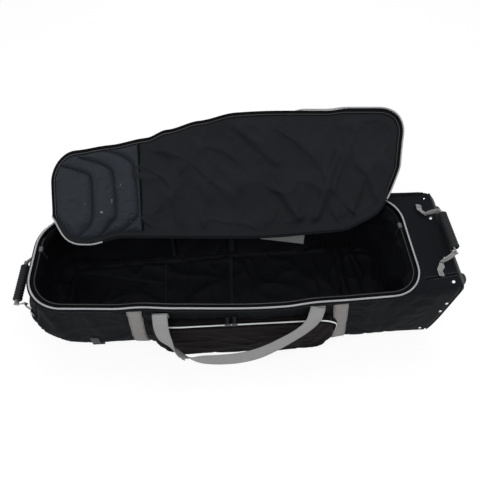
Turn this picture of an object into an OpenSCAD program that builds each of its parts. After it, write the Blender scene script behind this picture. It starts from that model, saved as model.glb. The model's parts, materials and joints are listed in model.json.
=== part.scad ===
// Wheeled ice hockey equipment bag, lying on its base with the lid thrown open.
// +X points to the wheel end, -Y to the side with the front pocket, +Z up. Millimetres.
// Soft panels are lofted skins of cloth, plastic parts are moulded shells with true bores.

/* [Body] */
// Length from the bulge of the left end to the face of the end cap
body_len = 1164; // [1080:4:1240]
// Width of the opening at its widest place
rim_w = 348; // [330:2:360]
// Width of the opening near the left end
rim_left_w = 282; // [270:2:300]
// Width of the opening near the deck
rim_right_w = 308; // [300:2:320]
// Height of the opening's rim
rim_h = 260; // [240:2:280]
// Height of the deck's outer edge over the wheels
deck_h = 286; // [280:2:300]
// Length of the deck between the opening and the end cap's face
deck_len = 98; // [90:2:120]
// How far the left end bulges past the rim
left_bulge = 44; // [20:2:60]
// How far the long sides bulge past the rim
side_bulge = 7; // [3:1:12]
// How far the fabric tucks in around the floor's edge
floor_tuck = 22; // [12:1:28]
// Radius of the opening's left corners
left_corner_r = 100; // [80:5:115]
// Radius of the opening's corners at the deck
right_corner_r = 85; // [60:5:100]
// Thickness of the body fabric with its foam
cloth = 3; // [2:0.5:4]

/* [Lining] */
// Thickness of the inner lining
lining_t = 1.2; // [0.8:0.2:2]
// Thickness of the stiff board on the floor
board_t = 4; // [3:0.5:6]

/* [Rim and zipper] */
// Diameter of the piping cord
piping_d = 6; // [4:0.5:8]
// Visible width of a zipper tape
tape_w = 13; // [10:1:18]
// Thickness of a zipper tape
tape_t = 1; // [0.8:0.1:1.2]
// Width of half a zipper coil
coil_w = 3; // [2:0.5:4]
// Height of half a zipper coil
coil_h = 1.5; // [1:0.1:1.8]

/* [Lid] */
// Angle that the lid is thrown open, from closed
lid_open = 140; // [100:5:150]
// Distance of the fold line from the back rim
fold_in = 68; // [60:2:76]
// Height of the lid's dome
dome_h = 16; // [8:1:20]
// Thickness of the quilted pad in the lid
quilt_t = 9; // [6:1:12]
// Length of the quilted pad
quilt_len = 262; // [220:2:300]
// Thickness of the pocket on top of the lid
lid_pocket_t = 13; // [8:1:16]
// Length of the pocket on top of the lid
lid_pocket_len = 190; // [150:5:220]

/* [Front pocket] */
// Length of the front pocket
pocket_len = 500; // [420:10:500]
// Height of the front pocket
pocket_h = 168; // [140:4:172]
// How far the front pocket stands out at its edges
pocket_edge = 18; // [12:1:19]
// How far the front pocket stands out at its fullest
pocket_bulge = 38; // [25:1:40]
// Height of the front pocket's lower edge
pocket_z = 34; // [28:2:40]

/* [Webbing] */
// Width of the webbing
web_w = 38; // [30:1:42]
// Thickness of the webbing
web_t = 2.4; // [1.8:0.2:3]
// Position of the band on the left
left_band_x = -265; // [-280:1:-262]
// Position of the band on the right
right_band_x = 302; // [298:1:310]
// Reach of a carry handle's loop from where it is sewn on
handle_drop = 194; // [180:2:200]
// Distance between the middles of a carry handle's legs
handle_span = 430; // [420:2:436]
// Angle that the front handle leans out over the pocket
handle_lean = 22.5; // [22:0.5:26]

/* [Grab handles] */
// Diameter of a moulded grip
grip_d = 25; // [22:1:28]
// Length of a moulded grip
grip_len = 112; // [100:2:120]
// Depth of a grip's rings
ring_depth = 1.2; // [0.6:0.2:1.6]
// Width of the grab handles' sewn tabs
tab_w = 25; // [20:1:25]
// Width of the folded webbing that runs through a grip
fold_w = 14; // [12:0.5:14.5]
// Reach of a grab handle from its tabs to the grip's middle
grip_reach = 44; // [40:1:48]
// Distance between the tabs of a grab handle
tab_span = 160; // [156:2:166]

/* [End cap] */
// Wall thickness of the plastic mouldings
wall = 3.5; // [2.5:0.5:4]
// Length of the end cap's flange inside the fabric
flange_len = 42; // [36:2:50]
// Length of the end cap's tray under the bag
tray_len = 176; // [170:2:190]
// Radius around the end cap's face
cap_edge_r = 12; // [8:1:14]
// Number of upright ribs on the end cap's face
rib_count = 7; // [3:2:9]
// Width of a rib
rib_w = 7; // [5:1:9]
// Height of a rib over the face
rib_h = 3; // [2:0.5:4]
// Diameter of a stand foot
foot_d = 32; // [26:1:36]
// Length of a stand foot
foot_len = 15; // [10:1:18]
// Diameter of a rivet's head
rivet_d = 9; // [7:0.5:11]

/* [Wheels] */
// Diameter of a wheel
wheel_d = 90; // [80:2:92]
// Width of a tyre
tyre_w = 30; // [24:1:30]
// Diameter of a wheel's hub
hub_d = 62; // [54:1:66]
// Distance between the middles of the wheels
track_w = 236; // [230:2:238]
// Gap between a wheel and its housing
wheel_gap = 5; // [4:0.5:6]
// Diameter of an axle
axle_d = 10; // [8:0.5:12]
// Outer diameter of a ball bearing
bearing_d = 22; // [20:1:26]
// Width of a ball bearing
bearing_w = 7; // [6:0.5:8]

/* [Skid rails] */
// Height of the skid rails
rail_h = 8; // [6:0.5:10]
// Width of a skid rail
rail_w = 22; // [16:1:28]
// Length of a skid rail
rail_len = 620; // [500:10:680]
// Distance between the outer skid rails
rail_spread = 190; // [160:5:220]

/* [Hidden] */

// Clearances
sew_gap = 0.3;      // between pieces that are sewn or laid on each other
run_gap = 0.05;     // between a shaft and what turns on it
trim_gap = 0.5;     // between the wall's cloth and its lining
sheet_gap = 0.5;    // between the lining and the sheets sewn on it
wide_gap = 1.5;     // the same where the lining twists
slide_gap = 0.3;    // between a slider and its zipper
$fn = 48;

// Places along the bag
face_x = body_len / 2;
left_x = -body_len / 2 + left_bulge;
deck_x = face_x - deck_len;
cap_x = face_x - cap_edge_r;
tray_x = face_x - tray_len;
belly_x = 76;
shoulder_x = deck_x - 110;
handle_x = 20;
pocket_x = 18;

// Levels
floor_z = rail_h;
floor_share = 0.95;
deck_drop = 18;
piping_ledge = 7;
deck_tilt = atan(deck_drop / (flange_len + 4 - sew_gap));
tuck_right = 8;
end_ease = 4;
end_crown = 6;
belly_r = 1500;
wall_top = rim_h - piping_d / 2 - sew_gap;
tape_top = wall_top - 0.9;
lining_top = tape_top - tape_t - trim_gap;
lid_gap = 2.5;
fold_rise = 2.5;
lid_tape_z = tape_top + coil_h + lid_gap + coil_h;
lid_lining_z = lid_tape_z + tape_t + sew_gap;
lid_skin_z = lid_lining_z + lining_t + sew_gap;
lid_piping_z = lid_lining_z + piping_d / 2 - lining_t;
fold_y = rim_w / 2 - fold_in;
fold_z = lid_lining_z + fold_rise;

// Offsets inwards from the rim's piping
piping_r = piping_d / 2;
lid_in = piping_d + 1;
skin_in = lid_in + piping_r + sew_gap;
coil_in = tape_w - coil_w / 2;
dome_steps = [[0, 0], [10, 0.45], [26, 0.8], [52, 1]];

// Colours
black_cloth = [0.10, 0.11, 0.13];
lid_cloth = [0.17, 0.18, 0.20];
quilt_cloth = [0.20, 0.22, 0.26];
dark_lining = [0.06, 0.06, 0.07];
light_grey = [0.72, 0.73, 0.75];
web_grey = [0.62, 0.61, 0.59];
patch_grey = [0.55, 0.56, 0.57];
plastic = [0.08, 0.08, 0.09];
steel = [0.80, 0.81, 0.83];
white_coil = [0.88, 0.88, 0.88];

// ---- Small helpers ----

function lerp(a, b, t) = a + (b - a) * t;
function unit(v) = v / norm(v);
function turn(a) = a > 180 ? a - 360 : (a < -180 ? a + 360 : a);
function flat(ring) = [for (p = ring) [p[0], p[1]]];

// n points of the arc that rounds the corner b between a and c
function corner_arc(a, b, c, r, n) = n == 1 ? [[b[0], b[1], b[2]]] :
    let (
        u = unit([a[0] - b[0], a[1] - b[1]]),
        v = unit([c[0] - b[0], c[1] - b[1]]),
        half = acos(u * v) / 2,
        o = [b[0], b[1]] + unit(u + v) * r / sin(half),
        p = [b[0], b[1]] + u * r / tan(half) - o,
        q = [b[0], b[1]] + v * r / tan(half) - o,
        start = atan2(p[1], p[0]),
        sweep = turn(atan2(q[1], q[0]) - start)
    )
    [for (i = [0:n - 1]) let (t = start + sweep * i / (n - 1)) [o[0] + r * cos(t), o[1] + r * sin(t), b[2]]];

// Closed outline through corners [x, y, z, radius, points]
function outline(c) =
    let (n = len(c))
    [for (i = [0:n - 1]) each corner_arc(c[(i + n - 1) % n], c[i], c[(i + 1) % n], c[i][3], c[i][4])];

// Symmetric outline of the bag: the deck end at end_x, the shoulder from where the sides may rise,
// the widest place, and the left end
function bag_outline(end_x, end_y, end_z, end_r, belly_y, start_x, start_y, start_r, z) =
    let (shoulder_y = lerp(belly_y, end_y, (shoulder_x - belly_x) / (end_x - belly_x)))
    outline([
        [end_x, end_y, end_z, end_r, 6],
        [shoulder_x, shoulder_y, z, 0, 1],
        [belly_x, belly_y, z, belly_r, 4],
        [start_x, start_y, z, start_r, 6],
        [start_x, -start_y, z, start_r, 6],
        [belly_x, -belly_y, z, belly_r, 4],
        [shoulder_x, -shoulder_y, z, 0, 1],
        [end_x, -end_y, end_z, end_r, 6]
    ]);

// Plan of the opening: g is the offset outwards and z the height
function plan(g, z) =
    bag_outline(deck_x + g, rim_right_w / 2 + g, z, max(4, right_corner_r + g), rim_w / 2 + g,
        left_x - g, rim_left_w / 2 + g, max(4, left_corner_r + g), z);

// Columns of the outlines: the last of the back right corner, the sewn seams of the left end,
// and the first of the front right corner
back_right = 5;
seam_back = 14;
seam_front = 19;
front_right = 28;
columns = 34;
first_tooth = 15;   // where the zipper starts, on the back left corner
level_column = 24;  // stands at the widest place, where every ring is level

// How far the sides and the left end stand out past the rim at the height share f
function tuck_in(f) = floor_tuck * pow(1 - f, 7);
function side_out(f) = side_bulge * sin(180 * f) - tuck_in(f);
function left_out(f) = left_bulge * sin(180 * pow(f, 0.75)) - tuck_in(f);

// The wall beside the end cap: half its width and its height at the height share f
function end_y(f) = rim_right_w / 2 + end_ease - tuck_right * pow(1 - f, 7)
    - (f >= floor_share ? end_crown : 0);
function end_z(f) = lerp(floor_z, deck_h, min(1, f / floor_share));

// The deck runs from the end cap over a level stretch down to the rim: [x, half width, z, radius]
deck_stations = [
    [cap_x - sew_gap, 0, 0, 4],
    [cap_x - flange_len - 4, end_y(1), deck_h - deck_drop, 36],
    [deck_x, rim_right_w / 2, wall_top, right_corner_r],
    [deck_x + piping_ledge, rim_right_w / 2 + piping_ledge / 2, wall_top + 0.5, right_corner_r + piping_ledge]
];

// Ring of the body's wall at the height share f, at a deck station, offset outwards by g
function wall_ring(f, station, g) =
    let (
        lift = (2 * f - 1) * g,
        z = lerp(floor_z, wall_top, f) + lift,
        d = deck_stations[station],
        e_y = station == 0 ? end_y(f) : d[1],
        e_z = station == 0 ? end_z(f) : d[2],
        e_x = station > 1 ? d[0] + g : d[0]
    )
    bag_outline(e_x, e_y + g, e_z + lift, d[3] + g, rim_w / 2 + side_out(f) + g,
        left_x - left_out(f) - g, rim_left_w / 2 + side_out(f) + g, left_corner_r + side_out(f) + g, z);

// Height shares of the wall's rings up to the deck's edge
ring_shares = [0, 0.04, 0.12, 0.28, 0.48, 0.68, 0.86, floor_share];
function wall_rings(g) = concat(
    [for (f = ring_shares) wall_ring(f, 0, g)],
    [wall_ring(0.97, 1, g), wall_ring(0.985, 3, g), wall_ring(1, 2, g)]
);

// Half the width of the body at x beyond the widest place, at the height share f
function side_half(x, f) =
    lerp(rim_w / 2 + side_out(f), end_y(f), (x - belly_x) / (cap_x - sew_gap - belly_x));

// Ring of the lining, whose wheel end stands upright under the rim
function lining_ring(f, g) =
    let (
        z = lerp(floor_z, wall_top, f) + (2 * f - 1) * g,
        belly = rim_w / 2 + side_out(f),
        beside = side_half(deck_x, f) - trim_gap
    )
    bag_outline(deck_x + g, min(rim_right_w / 2, beside) + g, z, right_corner_r + g, belly + g,
        left_x - left_out(f) - g, rim_left_w / 2 + side_out(f) + g, left_corner_r + side_out(f) + g, z);

wall_faces = wall_rings(0);
lining_faces = [for (f = concat(ring_shares, [1])) lining_ring(f, -cloth - trim_gap - lining_t)];

// Distance from the middle plane at x and height z of the surface that these rings carry
function ring_y(rings, x, z) = lookup(z, [for (r = rings) [r[level_column][2],
    lookup(x, [for (i = [seam_front:front_right]) [r[i][0], -r[i][1]]])]]);
function wall_y(x, z) = ring_y(wall_faces, x, z);
function lining_y(x, z) = ring_y(lining_faces, x, z);

// Direction along the wall's side (-1 front, 1 back) at x and height z
function along_wall(x, z, side) = unit([web_w, side * (wall_y(x + web_w / 2, z) - wall_y(x - web_w / 2, z)), 0]);

// x of the left end's outer face at y and height z
function left_wall_x(y, z) =
    let (f = (z - floor_z) / (wall_top - floor_z), ring = wall_ring(f, 0, 0))
    lookup(-y, [for (i = [11:22]) [-ring[i][1], ring[i][0]]]);

// Distance of the rim's line from the middle plane at x
function rim_y(x, g) = let (ring = plan(g, 0)) lookup(x, [for (i = [seam_front:front_right + 5])
    [ring[i % columns][0], -ring[i % columns][1]]]);

// ---- Solids made of rings and skins ----

// Closed solid between the grid a (outer) and the grid b (inner), rows running up, columns to the right
module skin(a, b) {
    rows = len(a);
    cols = len(a[0]);
    m = rows * cols;
    function at(j, i) = j * cols + i;
    function in(j, i) = m + j * cols + i;
    polyhedron(
        points = concat([for (r = a) each r], [for (r = b) each r]),
        faces = concat(
            [for (j = [0:rows - 2], i = [0:cols - 2]) each [
                [at(j, i), at(j + 1, i), at(j + 1, i + 1)], [at(j, i), at(j + 1, i + 1), at(j, i + 1)],
                [in(j, i), in(j + 1, i + 1), in(j + 1, i)], [in(j, i), in(j, i + 1), in(j + 1, i + 1)]
            ]],
            [for (i = [0:cols - 2]) each [
                [at(0, i), at(0, i + 1), in(0, i + 1)], [at(0, i), in(0, i + 1), in(0, i)],
                [at(rows - 1, i + 1), at(rows - 1, i), in(rows - 1, i)],
                [at(rows - 1, i + 1), in(rows - 1, i), in(rows - 1, i + 1)]
            ]],
            [for (j = [0:rows - 2]) each [
                [at(j + 1, 0), at(j, 0), in(j, 0)], [at(j + 1, 0), in(j, 0), in(j + 1, 0)],
                [at(j, cols - 1), at(j + 1, cols - 1), in(j, cols - 1)],
                [at(j + 1, cols - 1), in(j + 1, cols - 1), in(j, cols - 1)]
            ]]
        )
    );
}

// Triangles between successive closed rings of n points, rings rising along the outside
function ring_sides(count, n, steps) = [
    for (j = [0:steps - 1], i = [0:n - 1]) let (
        k = (j + 1) % count,
        a = j * n + i,
        b = k * n + i,
        c = k * n + (i + 1) % n,
        d = j * n + (i + 1) % n
    ) each [[a, b, c], [a, c, d]]
];

// Solid through rings, with flat ends
module loft(rings) {
    n = len(rings[0]);
    count = len(rings);
    polyhedron(
        points = [for (r = rings) each r],
        faces = concat(
            ring_sides(count, n, count - 1),
            [[for (i = [0:n - 1]) i]],
            [[for (i = [n - 1:-1:0]) (count - 1) * n + i]]
        )
    );
}

// Closed hoop along the opening with the profile [offset outwards, height]
module hoop(profile) {
    rings = [for (p = profile) plan(p[0], p[1])];
    polyhedron(points = [for (r = rings) each r], faces = ring_sides(len(rings), columns, len(rings)));
}

// Part of such a hoop from one column to another, counted on past the last column
module part_hoop(profile, from, to) {
    rings = [for (k = [len(profile) - 1:-1:0]) plan(profile[k][0], profile[k][1])];
    loft([for (i = [from:to]) [for (r = rings) r[i % columns]]]);
}

function circle_profile(g, z, r, n) = [for (k = [0:n - 1]) [g + r * cos(360 * k / n), z + r * sin(360 * k / n)]];
function box_profile(g0, g1, z0, z1) = [[g0, z0], [g1, z0], [g1, z1], [g0, z1]];

// Flat strap along path points; w is its width or one width a point, across the direction of the width
module strap(path, across, w, t) {
    n = len(path);
    loft([for (i = [0:n - 1]) let (
        dir = unit(path[min(i + 1, n - 1)] - path[max(i - 1, 0)]),
        side = unit(across - dir * (across * dir)) * (is_list(w) ? w[i] : w) / 2,
        up = unit(cross(dir, side)) * t / 2
    ) [path[i] - side - up, path[i] + side - up, path[i] + side + up, path[i] - side + up]]);
}

// ---- Fabric body ----

module wall_panel(from, to) {
    a = wall_rings(0);
    b = wall_rings(-cloth);
    skin([for (r = a) [for (i = [from:to]) r[i]]], [for (r = b) [for (i = [from:to]) r[i]]]);
}

module front_panel() {
    color(black_cloth) difference() {
        wall_panel(seam_front, front_right);
        for (p = side_rivets) side_drill(p, -1, rivet_hole_r + 0.2);
    }
}

module back_panel() {
    color(black_cloth) difference() {
        wall_panel(back_right, seam_back);
        for (p = side_rivets) side_drill(p, 1, rivet_hole_r + 0.2);
    }
}

module left_end_panel() {
    color(black_cloth) wall_panel(seam_back, seam_front);
}

module deck_panel() {
    a = [for (r = wall_rings(0)) [for (i = [front_right:front_right + 11]) r[i % columns]]];
    b = [for (r = wall_rings(-cloth)) [for (i = [front_right:front_right + 11]) r[i % columns]]];
    first = len(ring_shares) - 1;
    color(black_cloth) difference() {
        skin([for (j = [first:len(a) - 1]) a[j]], [for (j = [first:len(a) - 1]) b[j]]);
        for (y = deck_rivets) deck_drill(y, rivet_hole_r + 0.2);
    }
}

module bottom_panel() {
    color(black_cloth) intersection() {
        translate([0, 0, floor_z]) linear_extrude(cloth) polygon(flat(wall_ring(0, 0, -cloth - sew_gap)));
        translate([-body_len, -rim_w, 0]) cube([body_len + tray_x - sew_gap, 2 * rim_w, rim_h]);
    }
}

module lining() {
    shares = concat(ring_shares, [1]);
    outer = [for (f = shares) lining_ring(f, -cloth - trim_gap)];
    inner = [for (f = shares) lining_ring(f, -cloth - trim_gap - lining_t)];
    color(dark_lining) loft(concat(outer, [for (j = [len(inner) - 1:-1:0]) inner[j]]));
}

module base_board() {
    g = cloth + trim_gap + lining_t + trim_gap;
    color(plastic) translate([0, 0, floor_z + g]) linear_extrude(board_t) polygon(flat(lining_ring(0, -g)));
}

// ---- Rim ----

module rim_piping() {
    color(light_grey) hoop(circle_profile(0, rim_h, piping_r, 8));
}

module rim_zipper_tape() {
    color(dark_lining) part_hoop(
        box_profile(-piping_r - tape_w, -piping_r - sew_gap, tape_top - tape_t, tape_top),
        first_tooth, columns);
}

module rim_zipper_coil() {
    color(dark_lining) part_hoop(
        box_profile(-coil_in - coil_w, -coil_in, tape_top, tape_top + coil_h), first_tooth, columns);
}

// A point of the closed lid, carried to where it lies when the lid is thrown open
function opened(p) =
    let (y = p[1] - fold_y, z = p[2] - fold_z)
    [p[0], fold_y + y * cos(lid_open) + z * sin(lid_open), fold_z - y * sin(lid_open) + z * cos(lid_open)];

gusset_from = -400;
gusset_to = 360;
gusset_t = 1.5;
gusset_slack = 14;

// Slack strip of cloth from the lid's back edge to the back rim
module hinge_gusset() {
    xs = [for (i = [0:8]) lerp(gusset_from, gusset_to, i / 8)];
    outward = [0, sin(lid_open), cos(lid_open)];
    rim = [for (x = xs) [x, rim_y(x, -piping_r - sew_gap), tape_top]];
    seat = [for (x = xs) opened([x, rim_y(x, -lid_in), lid_piping_z]) + outward * (piping_r + sew_gap)];
    rows = [for (t = [0, 0.12, 0.25, 0.5, 0.75, 1]) [for (i = [0:8])
        lerp(seat[i], rim[i], t) + outward * gusset_slack * sin(180 * t)]];
    color(dark_lining) skin(rows, [for (r = rows) [for (p = r) p - [0, 0, gusset_t]]]);
}

// ---- Inside ----

// Sheet on the lined back wall between x0 and x1, z0 and z1, with the thickness t
module wall_sheet(x0, x1, z0, z1, t, gap = sheet_gap) {
    zs = [for (k = [0:6]) lerp(z0, z1, k / 6)];
    xs = [for (k = [0:4]) lerp(x0, x1, k / 4)];
    skin([for (z = zs) [for (x = xs) [x, lining_y(x, z) - gap - t, z]]],
        [for (z = zs) [for (x = xs) [x, lining_y(x, z) - gap, z]]]);
}

pocket_foot = 44;
divider_x = [-12, 6];

module inner_pocket_left() {
    color(dark_lining) wall_sheet(-460, -190, pocket_foot, 205, 2);
}

module inner_pocket_right() {
    color(dark_lining) wall_sheet(240, 385, pocket_foot, 200, 3, wide_gap);
}

module divider_strap() {
    color(plastic) wall_sheet(divider_x[0], divider_x[1], 40, 240, 1.6);
}

module wall_patch() {
    color(patch_grey) wall_sheet(90, 230, 160, 236, 1.2);
}

// ---- Front pocket ----

pocket_top = pocket_z + pocket_h;
pocket_corner = 34;
pocket_gap = 1.9;   // behind the pocket, whose back is straight between the wall's seams
pocket_face = rim_w / 2 + 2;

// How far the pocket's ends draw in towards its rounded corners at the height share v
function corner_in(v) =
    let (d = min(v, 1 - v) * pocket_h, c = pocket_corner)
    d >= c ? 0 : c - sqrt(c * c - (c - d) * (c - d));

// Distance of the pocket's front face from the middle plane: straight between its ends, which draw in
function pocket_front(u, v, wall) =
    let (e = min(1, min(u, 1 - u) / 0.1), ease = e * e * (3 - 2 * e))
    lerp(wall + 7, pocket_face + pocket_edge, ease)
        + ease * (pocket_bulge - pocket_edge) * sin(180 * u) * sin(180 * pow(v, 0.8));

module front_pocket() {
    shares = [0, 0.03, 0.09, 0.2, 0.4, 0.6, 0.8, 0.91, 0.97, 1];
    spans = [0, 0.03, 0.065, 0.1, 0.22, 0.36, 0.5, 0.64, 0.78, 0.9, 0.935, 0.97, 1];
    outer = [for (v = shares) [for (u = spans) let (
        x = pocket_x + (u - 0.5) * (pocket_len - 2 * corner_in(v)),
        z = pocket_z + v * pocket_h
    ) [x, -pocket_front(u, v, wall_y(x, z)), z]]];
    inner = [for (r = outer) [for (p = r) [p[0], -wall_y(p[0], p[2]) - pocket_gap, p[2]]]];
    color(black_cloth) skin(outer, inner);
}

// y of the pocket's upper front edge and the length of its straight zipper
zip_y = -pocket_face - pocket_edge;
zip_len = (pocket_len - 2 * pocket_corner) * 0.8;

module pocket_zipper_tape() {
    color(dark_lining) translate([pocket_x - zip_len / 2, zip_y, pocket_top + sew_gap])
        cube([zip_len, tape_w, tape_t]);
}

module pocket_zipper_coil() {
    color(white_coil) translate([pocket_x - zip_len / 2, zip_y + coil_w, pocket_top + sew_gap + tape_t])
        cube([zip_len, coil_w, coil_h]);
}

// ---- Webbing ----

web_off = web_t / 2 + 1.1;  // from the wall to the middle of webbing sewn on it

// Strip of webbing down one side (-1 front, 1 back) at x
module side_band(x, side) {
    zs = [for (k = [len(wall_faces) - 2:-1:1]) if (k != 7 && k != 8) wall_faces[k][level_column][2]];
    strap([for (z = zs) [x, side * (wall_y(x, z) + web_off), z]], along_wall(x, handle_z, side), web_w, web_t);
}

module left_band() {
    color(web_grey) for (side = [-1, 1]) side_band(left_band_x, side);
}

module right_band() {
    color(web_grey) for (side = [-1, 1]) side_band(right_band_x, side);
}

handle_z = rim_h - 10;
handle_y = rim_w / 2 - 1.3;
handle_bend = 90;

// How the loops hang, as [way down the webbing, y, z] from where they are sewn on
function hang(points) = [for (i = [0:len(points) - 1]) [way(points, i), points[i][0], points[i][1]]];
function way(points, i) = i == 0 ? 0 : way(points, i - 1) + norm(points[i] - points[i - 1]);
front_hang = hang([[0, 0], [-22, -22], [-31.5, -44], [-42, -72], [-55, -110], [-65, -144], [-73, -176], [-80, -204]]);
back_hang = hang([[0, 0], [12, -24], [18, -60], [22, -110], [25, -160], [27, -204]]);

// Point of a loop at x and the way s down the webbing
function hung(profile, x, s) = [
    x, lookup(s, [for (p = profile) [p[0], p[1]]]), lookup(s, [for (p = profile) [p[0], p[2]]])];

// Points [x, way down] along a U whose edge lies e outwards of the webbing's middle line
function u_line(e) =
    let (half = handle_span / 2, depth = handle_drop - web_w / 2, c = handle_bend)
    concat(
        [for (s = [0, 22, 46, 70, depth - c]) [-half - e, s]],
        [for (k = [1:6]) [-half + c - (c + e) * cos(15 * k), depth - c + (c + e) * sin(15 * k)]],
        [for (k = [6:-1:1]) [half - c + (c + e) * cos(15 * k), depth - c + (c + e) * sin(15 * k)]],
        [for (s = [depth - c, 70, 46, 22, 0]) [half + e, s]]
    );

module handle_loop(profile, side) {
    edges = [for (e = [-1, 0, 1]) u_line(e * web_w / 2)];
    grid = [for (i = [0:len(edges[0]) - 1]) [for (l = edges) hung(profile, l[i][0], l[i][1])]];
    shift = [0, side * web_t / 2, -web_t / 4];
    low = [for (r = grid) [for (p = r) p - shift]];
    high = [for (r = grid) [for (p = r) p + shift]];
    translate([handle_x, side * handle_y, handle_z]) skin(side < 0 ? high : low, side < 0 ? low : high);
}

module front_handle() {
    color(web_grey) handle_loop(front_hang, -1);
}

module rear_handle() {
    color(web_grey) handle_loop(back_hang, 1);
}

tab_drops = [44, 28, 19];   // stations down the sewn tabs, below the handles' ends

// Sewn tabs that carry the legs of both carry handles
module handle_tabs() {
    color(web_grey) for (side = [-1, 1], s = [-1, 1]) {
        x = handle_x + s * handle_span / 2;
        strap([
            for (drop = tab_drops) [x, side * (wall_y(x, handle_z - drop) + web_off), handle_z - drop],
            [x, side * (handle_y - web_t - 1.3 * sew_gap), handle_z - web_t / 2]
        ], along_wall(x, handle_z, side), web_w, web_t);
    }
}

// ---- Lashing strap ----

lash_x = -404;
buckle_z = 36;
buckle = [34, 26, 4];

module lash_strap() {
    zs = [80, 66, 52];
    color(web_grey) strap([for (z = zs) [lash_x, -wall_y(lash_x, z) - web_off - 0.3, z]],
        along_wall(lash_x, handle_z, -1), tab_w, web_t);
}

module lash_buckle() {
    top = buckle_z + buckle[1] / 2;
    color(plastic) translate([lash_x, -wall_y(lash_x, top) - buckle[2] / 2 - 1.2, buckle_z])
        rotate([90, 0, 0]) translate([0, 0, -buckle[2] / 2]) linear_extrude(buckle[2]) difference() {
            square([buckle[0], buckle[1]], center = true);
            for (s = [-1, 1]) translate([0, 5 * s]) square([tab_w + 2, 4.4], center = true);
        }
}

// ---- Grab handles ----

// Ringed grip along Y with a true bore, its middle at the origin
module ringed_grip() {
    pitch = 8;
    r = grip_d / 2;
    count = floor((grip_len - 12) / pitch);
    start = -count * pitch / 2;
    half = grip_len / 2;
    rotate([90, 0, 0]) rotate_extrude($fn = 40) polygon(concat(
        [[fold_w / 2 + 0.5, -half], [r - 2, -half], [r, -half + 2]],
        [for (k = [0:count - 1]) each [
            [r, start + k * pitch + 1], [r - ring_depth, start + k * pitch + 2.5],
            [r - ring_depth, start + k * pitch + 5.5], [r, start + k * pitch + 7]
        ]],
        [[r, half - 2], [r - 2, half], [fold_w / 2 + 0.5, half]]
    ));
}

// Folded webbing from one tab through the grip to the other; the grip's middle is reach away along out
module grip_webbing(out, across) {
    half = tab_span / 2;
    side = [for (p = [[0, web_t / 2 + sew_gap], [0.35, 4], [0.72, 8], [0.94, 13], [1, 19]])
        out * grip_reach * p[0] + [0, half - p[1], 0]];
    strap(concat([for (p = side) [p[0], -p[1], p[2]]], [for (i = [len(side) - 1:-1:0]) side[i]]),
        across, fold_w, web_t);
}

left_axis = [left_wall_x(80, 165) - 8.5, 0, 165];
left_out_dir = unit([-0.86, 0, -0.5]);
deck_axis = [cap_x - 34, 0, deck_z(cap_x - 34) + 9.5];
deck_out_dir = unit([1, 0, 1]);
deck_slope = [cos(deck_tilt), 0, sin(deck_tilt)];

module left_grip() {
    color(plastic) translate(left_axis + left_out_dir * grip_reach) ringed_grip();
}

module left_grip_webbing() {
    color(web_grey) translate(left_axis) grip_webbing(left_out_dir, cross([0, 1, 0], left_out_dir));
}

module wheel_grip() {
    color(plastic) translate(deck_axis + deck_out_dir * grip_reach) ringed_grip();
}

module wheel_grip_webbing() {
    color(web_grey) translate(deck_axis) grip_webbing(deck_out_dir, cross([0, 1, 0], deck_out_dir));
}

// Sewn tabs that hold the two grab handles
module grip_tabs() {
    half = tab_span / 2;
    widths = [tab_w, tab_w, fold_w + 5, fold_w];
    z = left_axis[2];
    x0 = left_wall_x(half + 20, z - tab_w / 2);
    x1 = left_wall_x(half + 20, z + tab_w / 2);
    up = unit([x1 - x0, 0, tab_w]);
    color(web_grey) for (s = [-1, 1]) {
        strap([
            [left_wall_x(half + 28, z) - 1.9, s * (half + 28), z],
            [left_wall_x(half + 17, z) - 2, s * (half + 17), z],
            [left_axis[0] + 2.4, s * (half + 8), z],
            [left_axis[0], s * (half + sew_gap), z]
        ], up, widths, web_t);
        strap([
            [deck_axis[0], s * (half + 30), deck_z(deck_axis[0]) + 2.2],
            [deck_axis[0], s * (half + 18), deck_z(deck_axis[0]) + 2.2],
            [deck_axis[0], s * (half + 8), deck_axis[2] - 2.2],
            [deck_axis[0], s * (half + sew_gap), deck_axis[2]]
        ], deck_slope, widths, web_t);
    }
}

// Height of the deck's outer face at x beyond the level stretch's start
function deck_z(x) = x > deck_stations[1][0]
    ? lerp(deck_h - deck_drop, deck_h, (x - deck_stations[1][0]) / (cap_x - deck_stations[1][0]))
    : lerp(wall_top, deck_h - deck_drop, (x - deck_x) / (deck_stations[1][0] - deck_x));

// ---- Rivets ----

rivet_hole_r = 2.1;
rivet_shank_r = 2;
side_rivets = [[cap_x - 14, 203], [cap_x - 14, 156], [cap_x - 30, 36]];
deck_rivets = [-136, -66, 66, 136];
deck_rivet_x = cap_x - 18;

// Distance of the wall from the middle plane beside the end cap, at x and height z
function flange_y(x, z) = side_half(x, (z - floor_z) / (deck_h - floor_z) * floor_share);

module side_drill(p, side, r) {
    translate([p[0], side * (flange_y(p[0], p[1]) - 12), p[1]]) rotate([-side * 90, 0, 0])
        cylinder(r = r, h = 24, $fn = 16);
}

module deck_drill(y, r) {
    translate([deck_rivet_x, y, deck_z(deck_rivet_x)]) rotate([0, -deck_tilt, 0])
        translate([0, 0, -14]) cylinder(r = r, h = 24, $fn = 16);
}

// Rivet with its head's underside at the origin, pointing up, through cloth and flange
module rivet() {
    grip = cloth + sew_gap + wall + 3;
    rotate_extrude($fn = 24) polygon([
        [0, -grip - 0.8], [rivet_d / 2 - 0.7, -grip - 0.8], [rivet_d / 2 - 0.7, -grip], [rivet_shank_r, -grip],
        [rivet_shank_r, 0.2], [rivet_d / 2, 0.2], [rivet_d / 2 - 0.5, 1.3], [rivet_d / 4, 2], [0, 2.2]
    ]);
}

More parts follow.
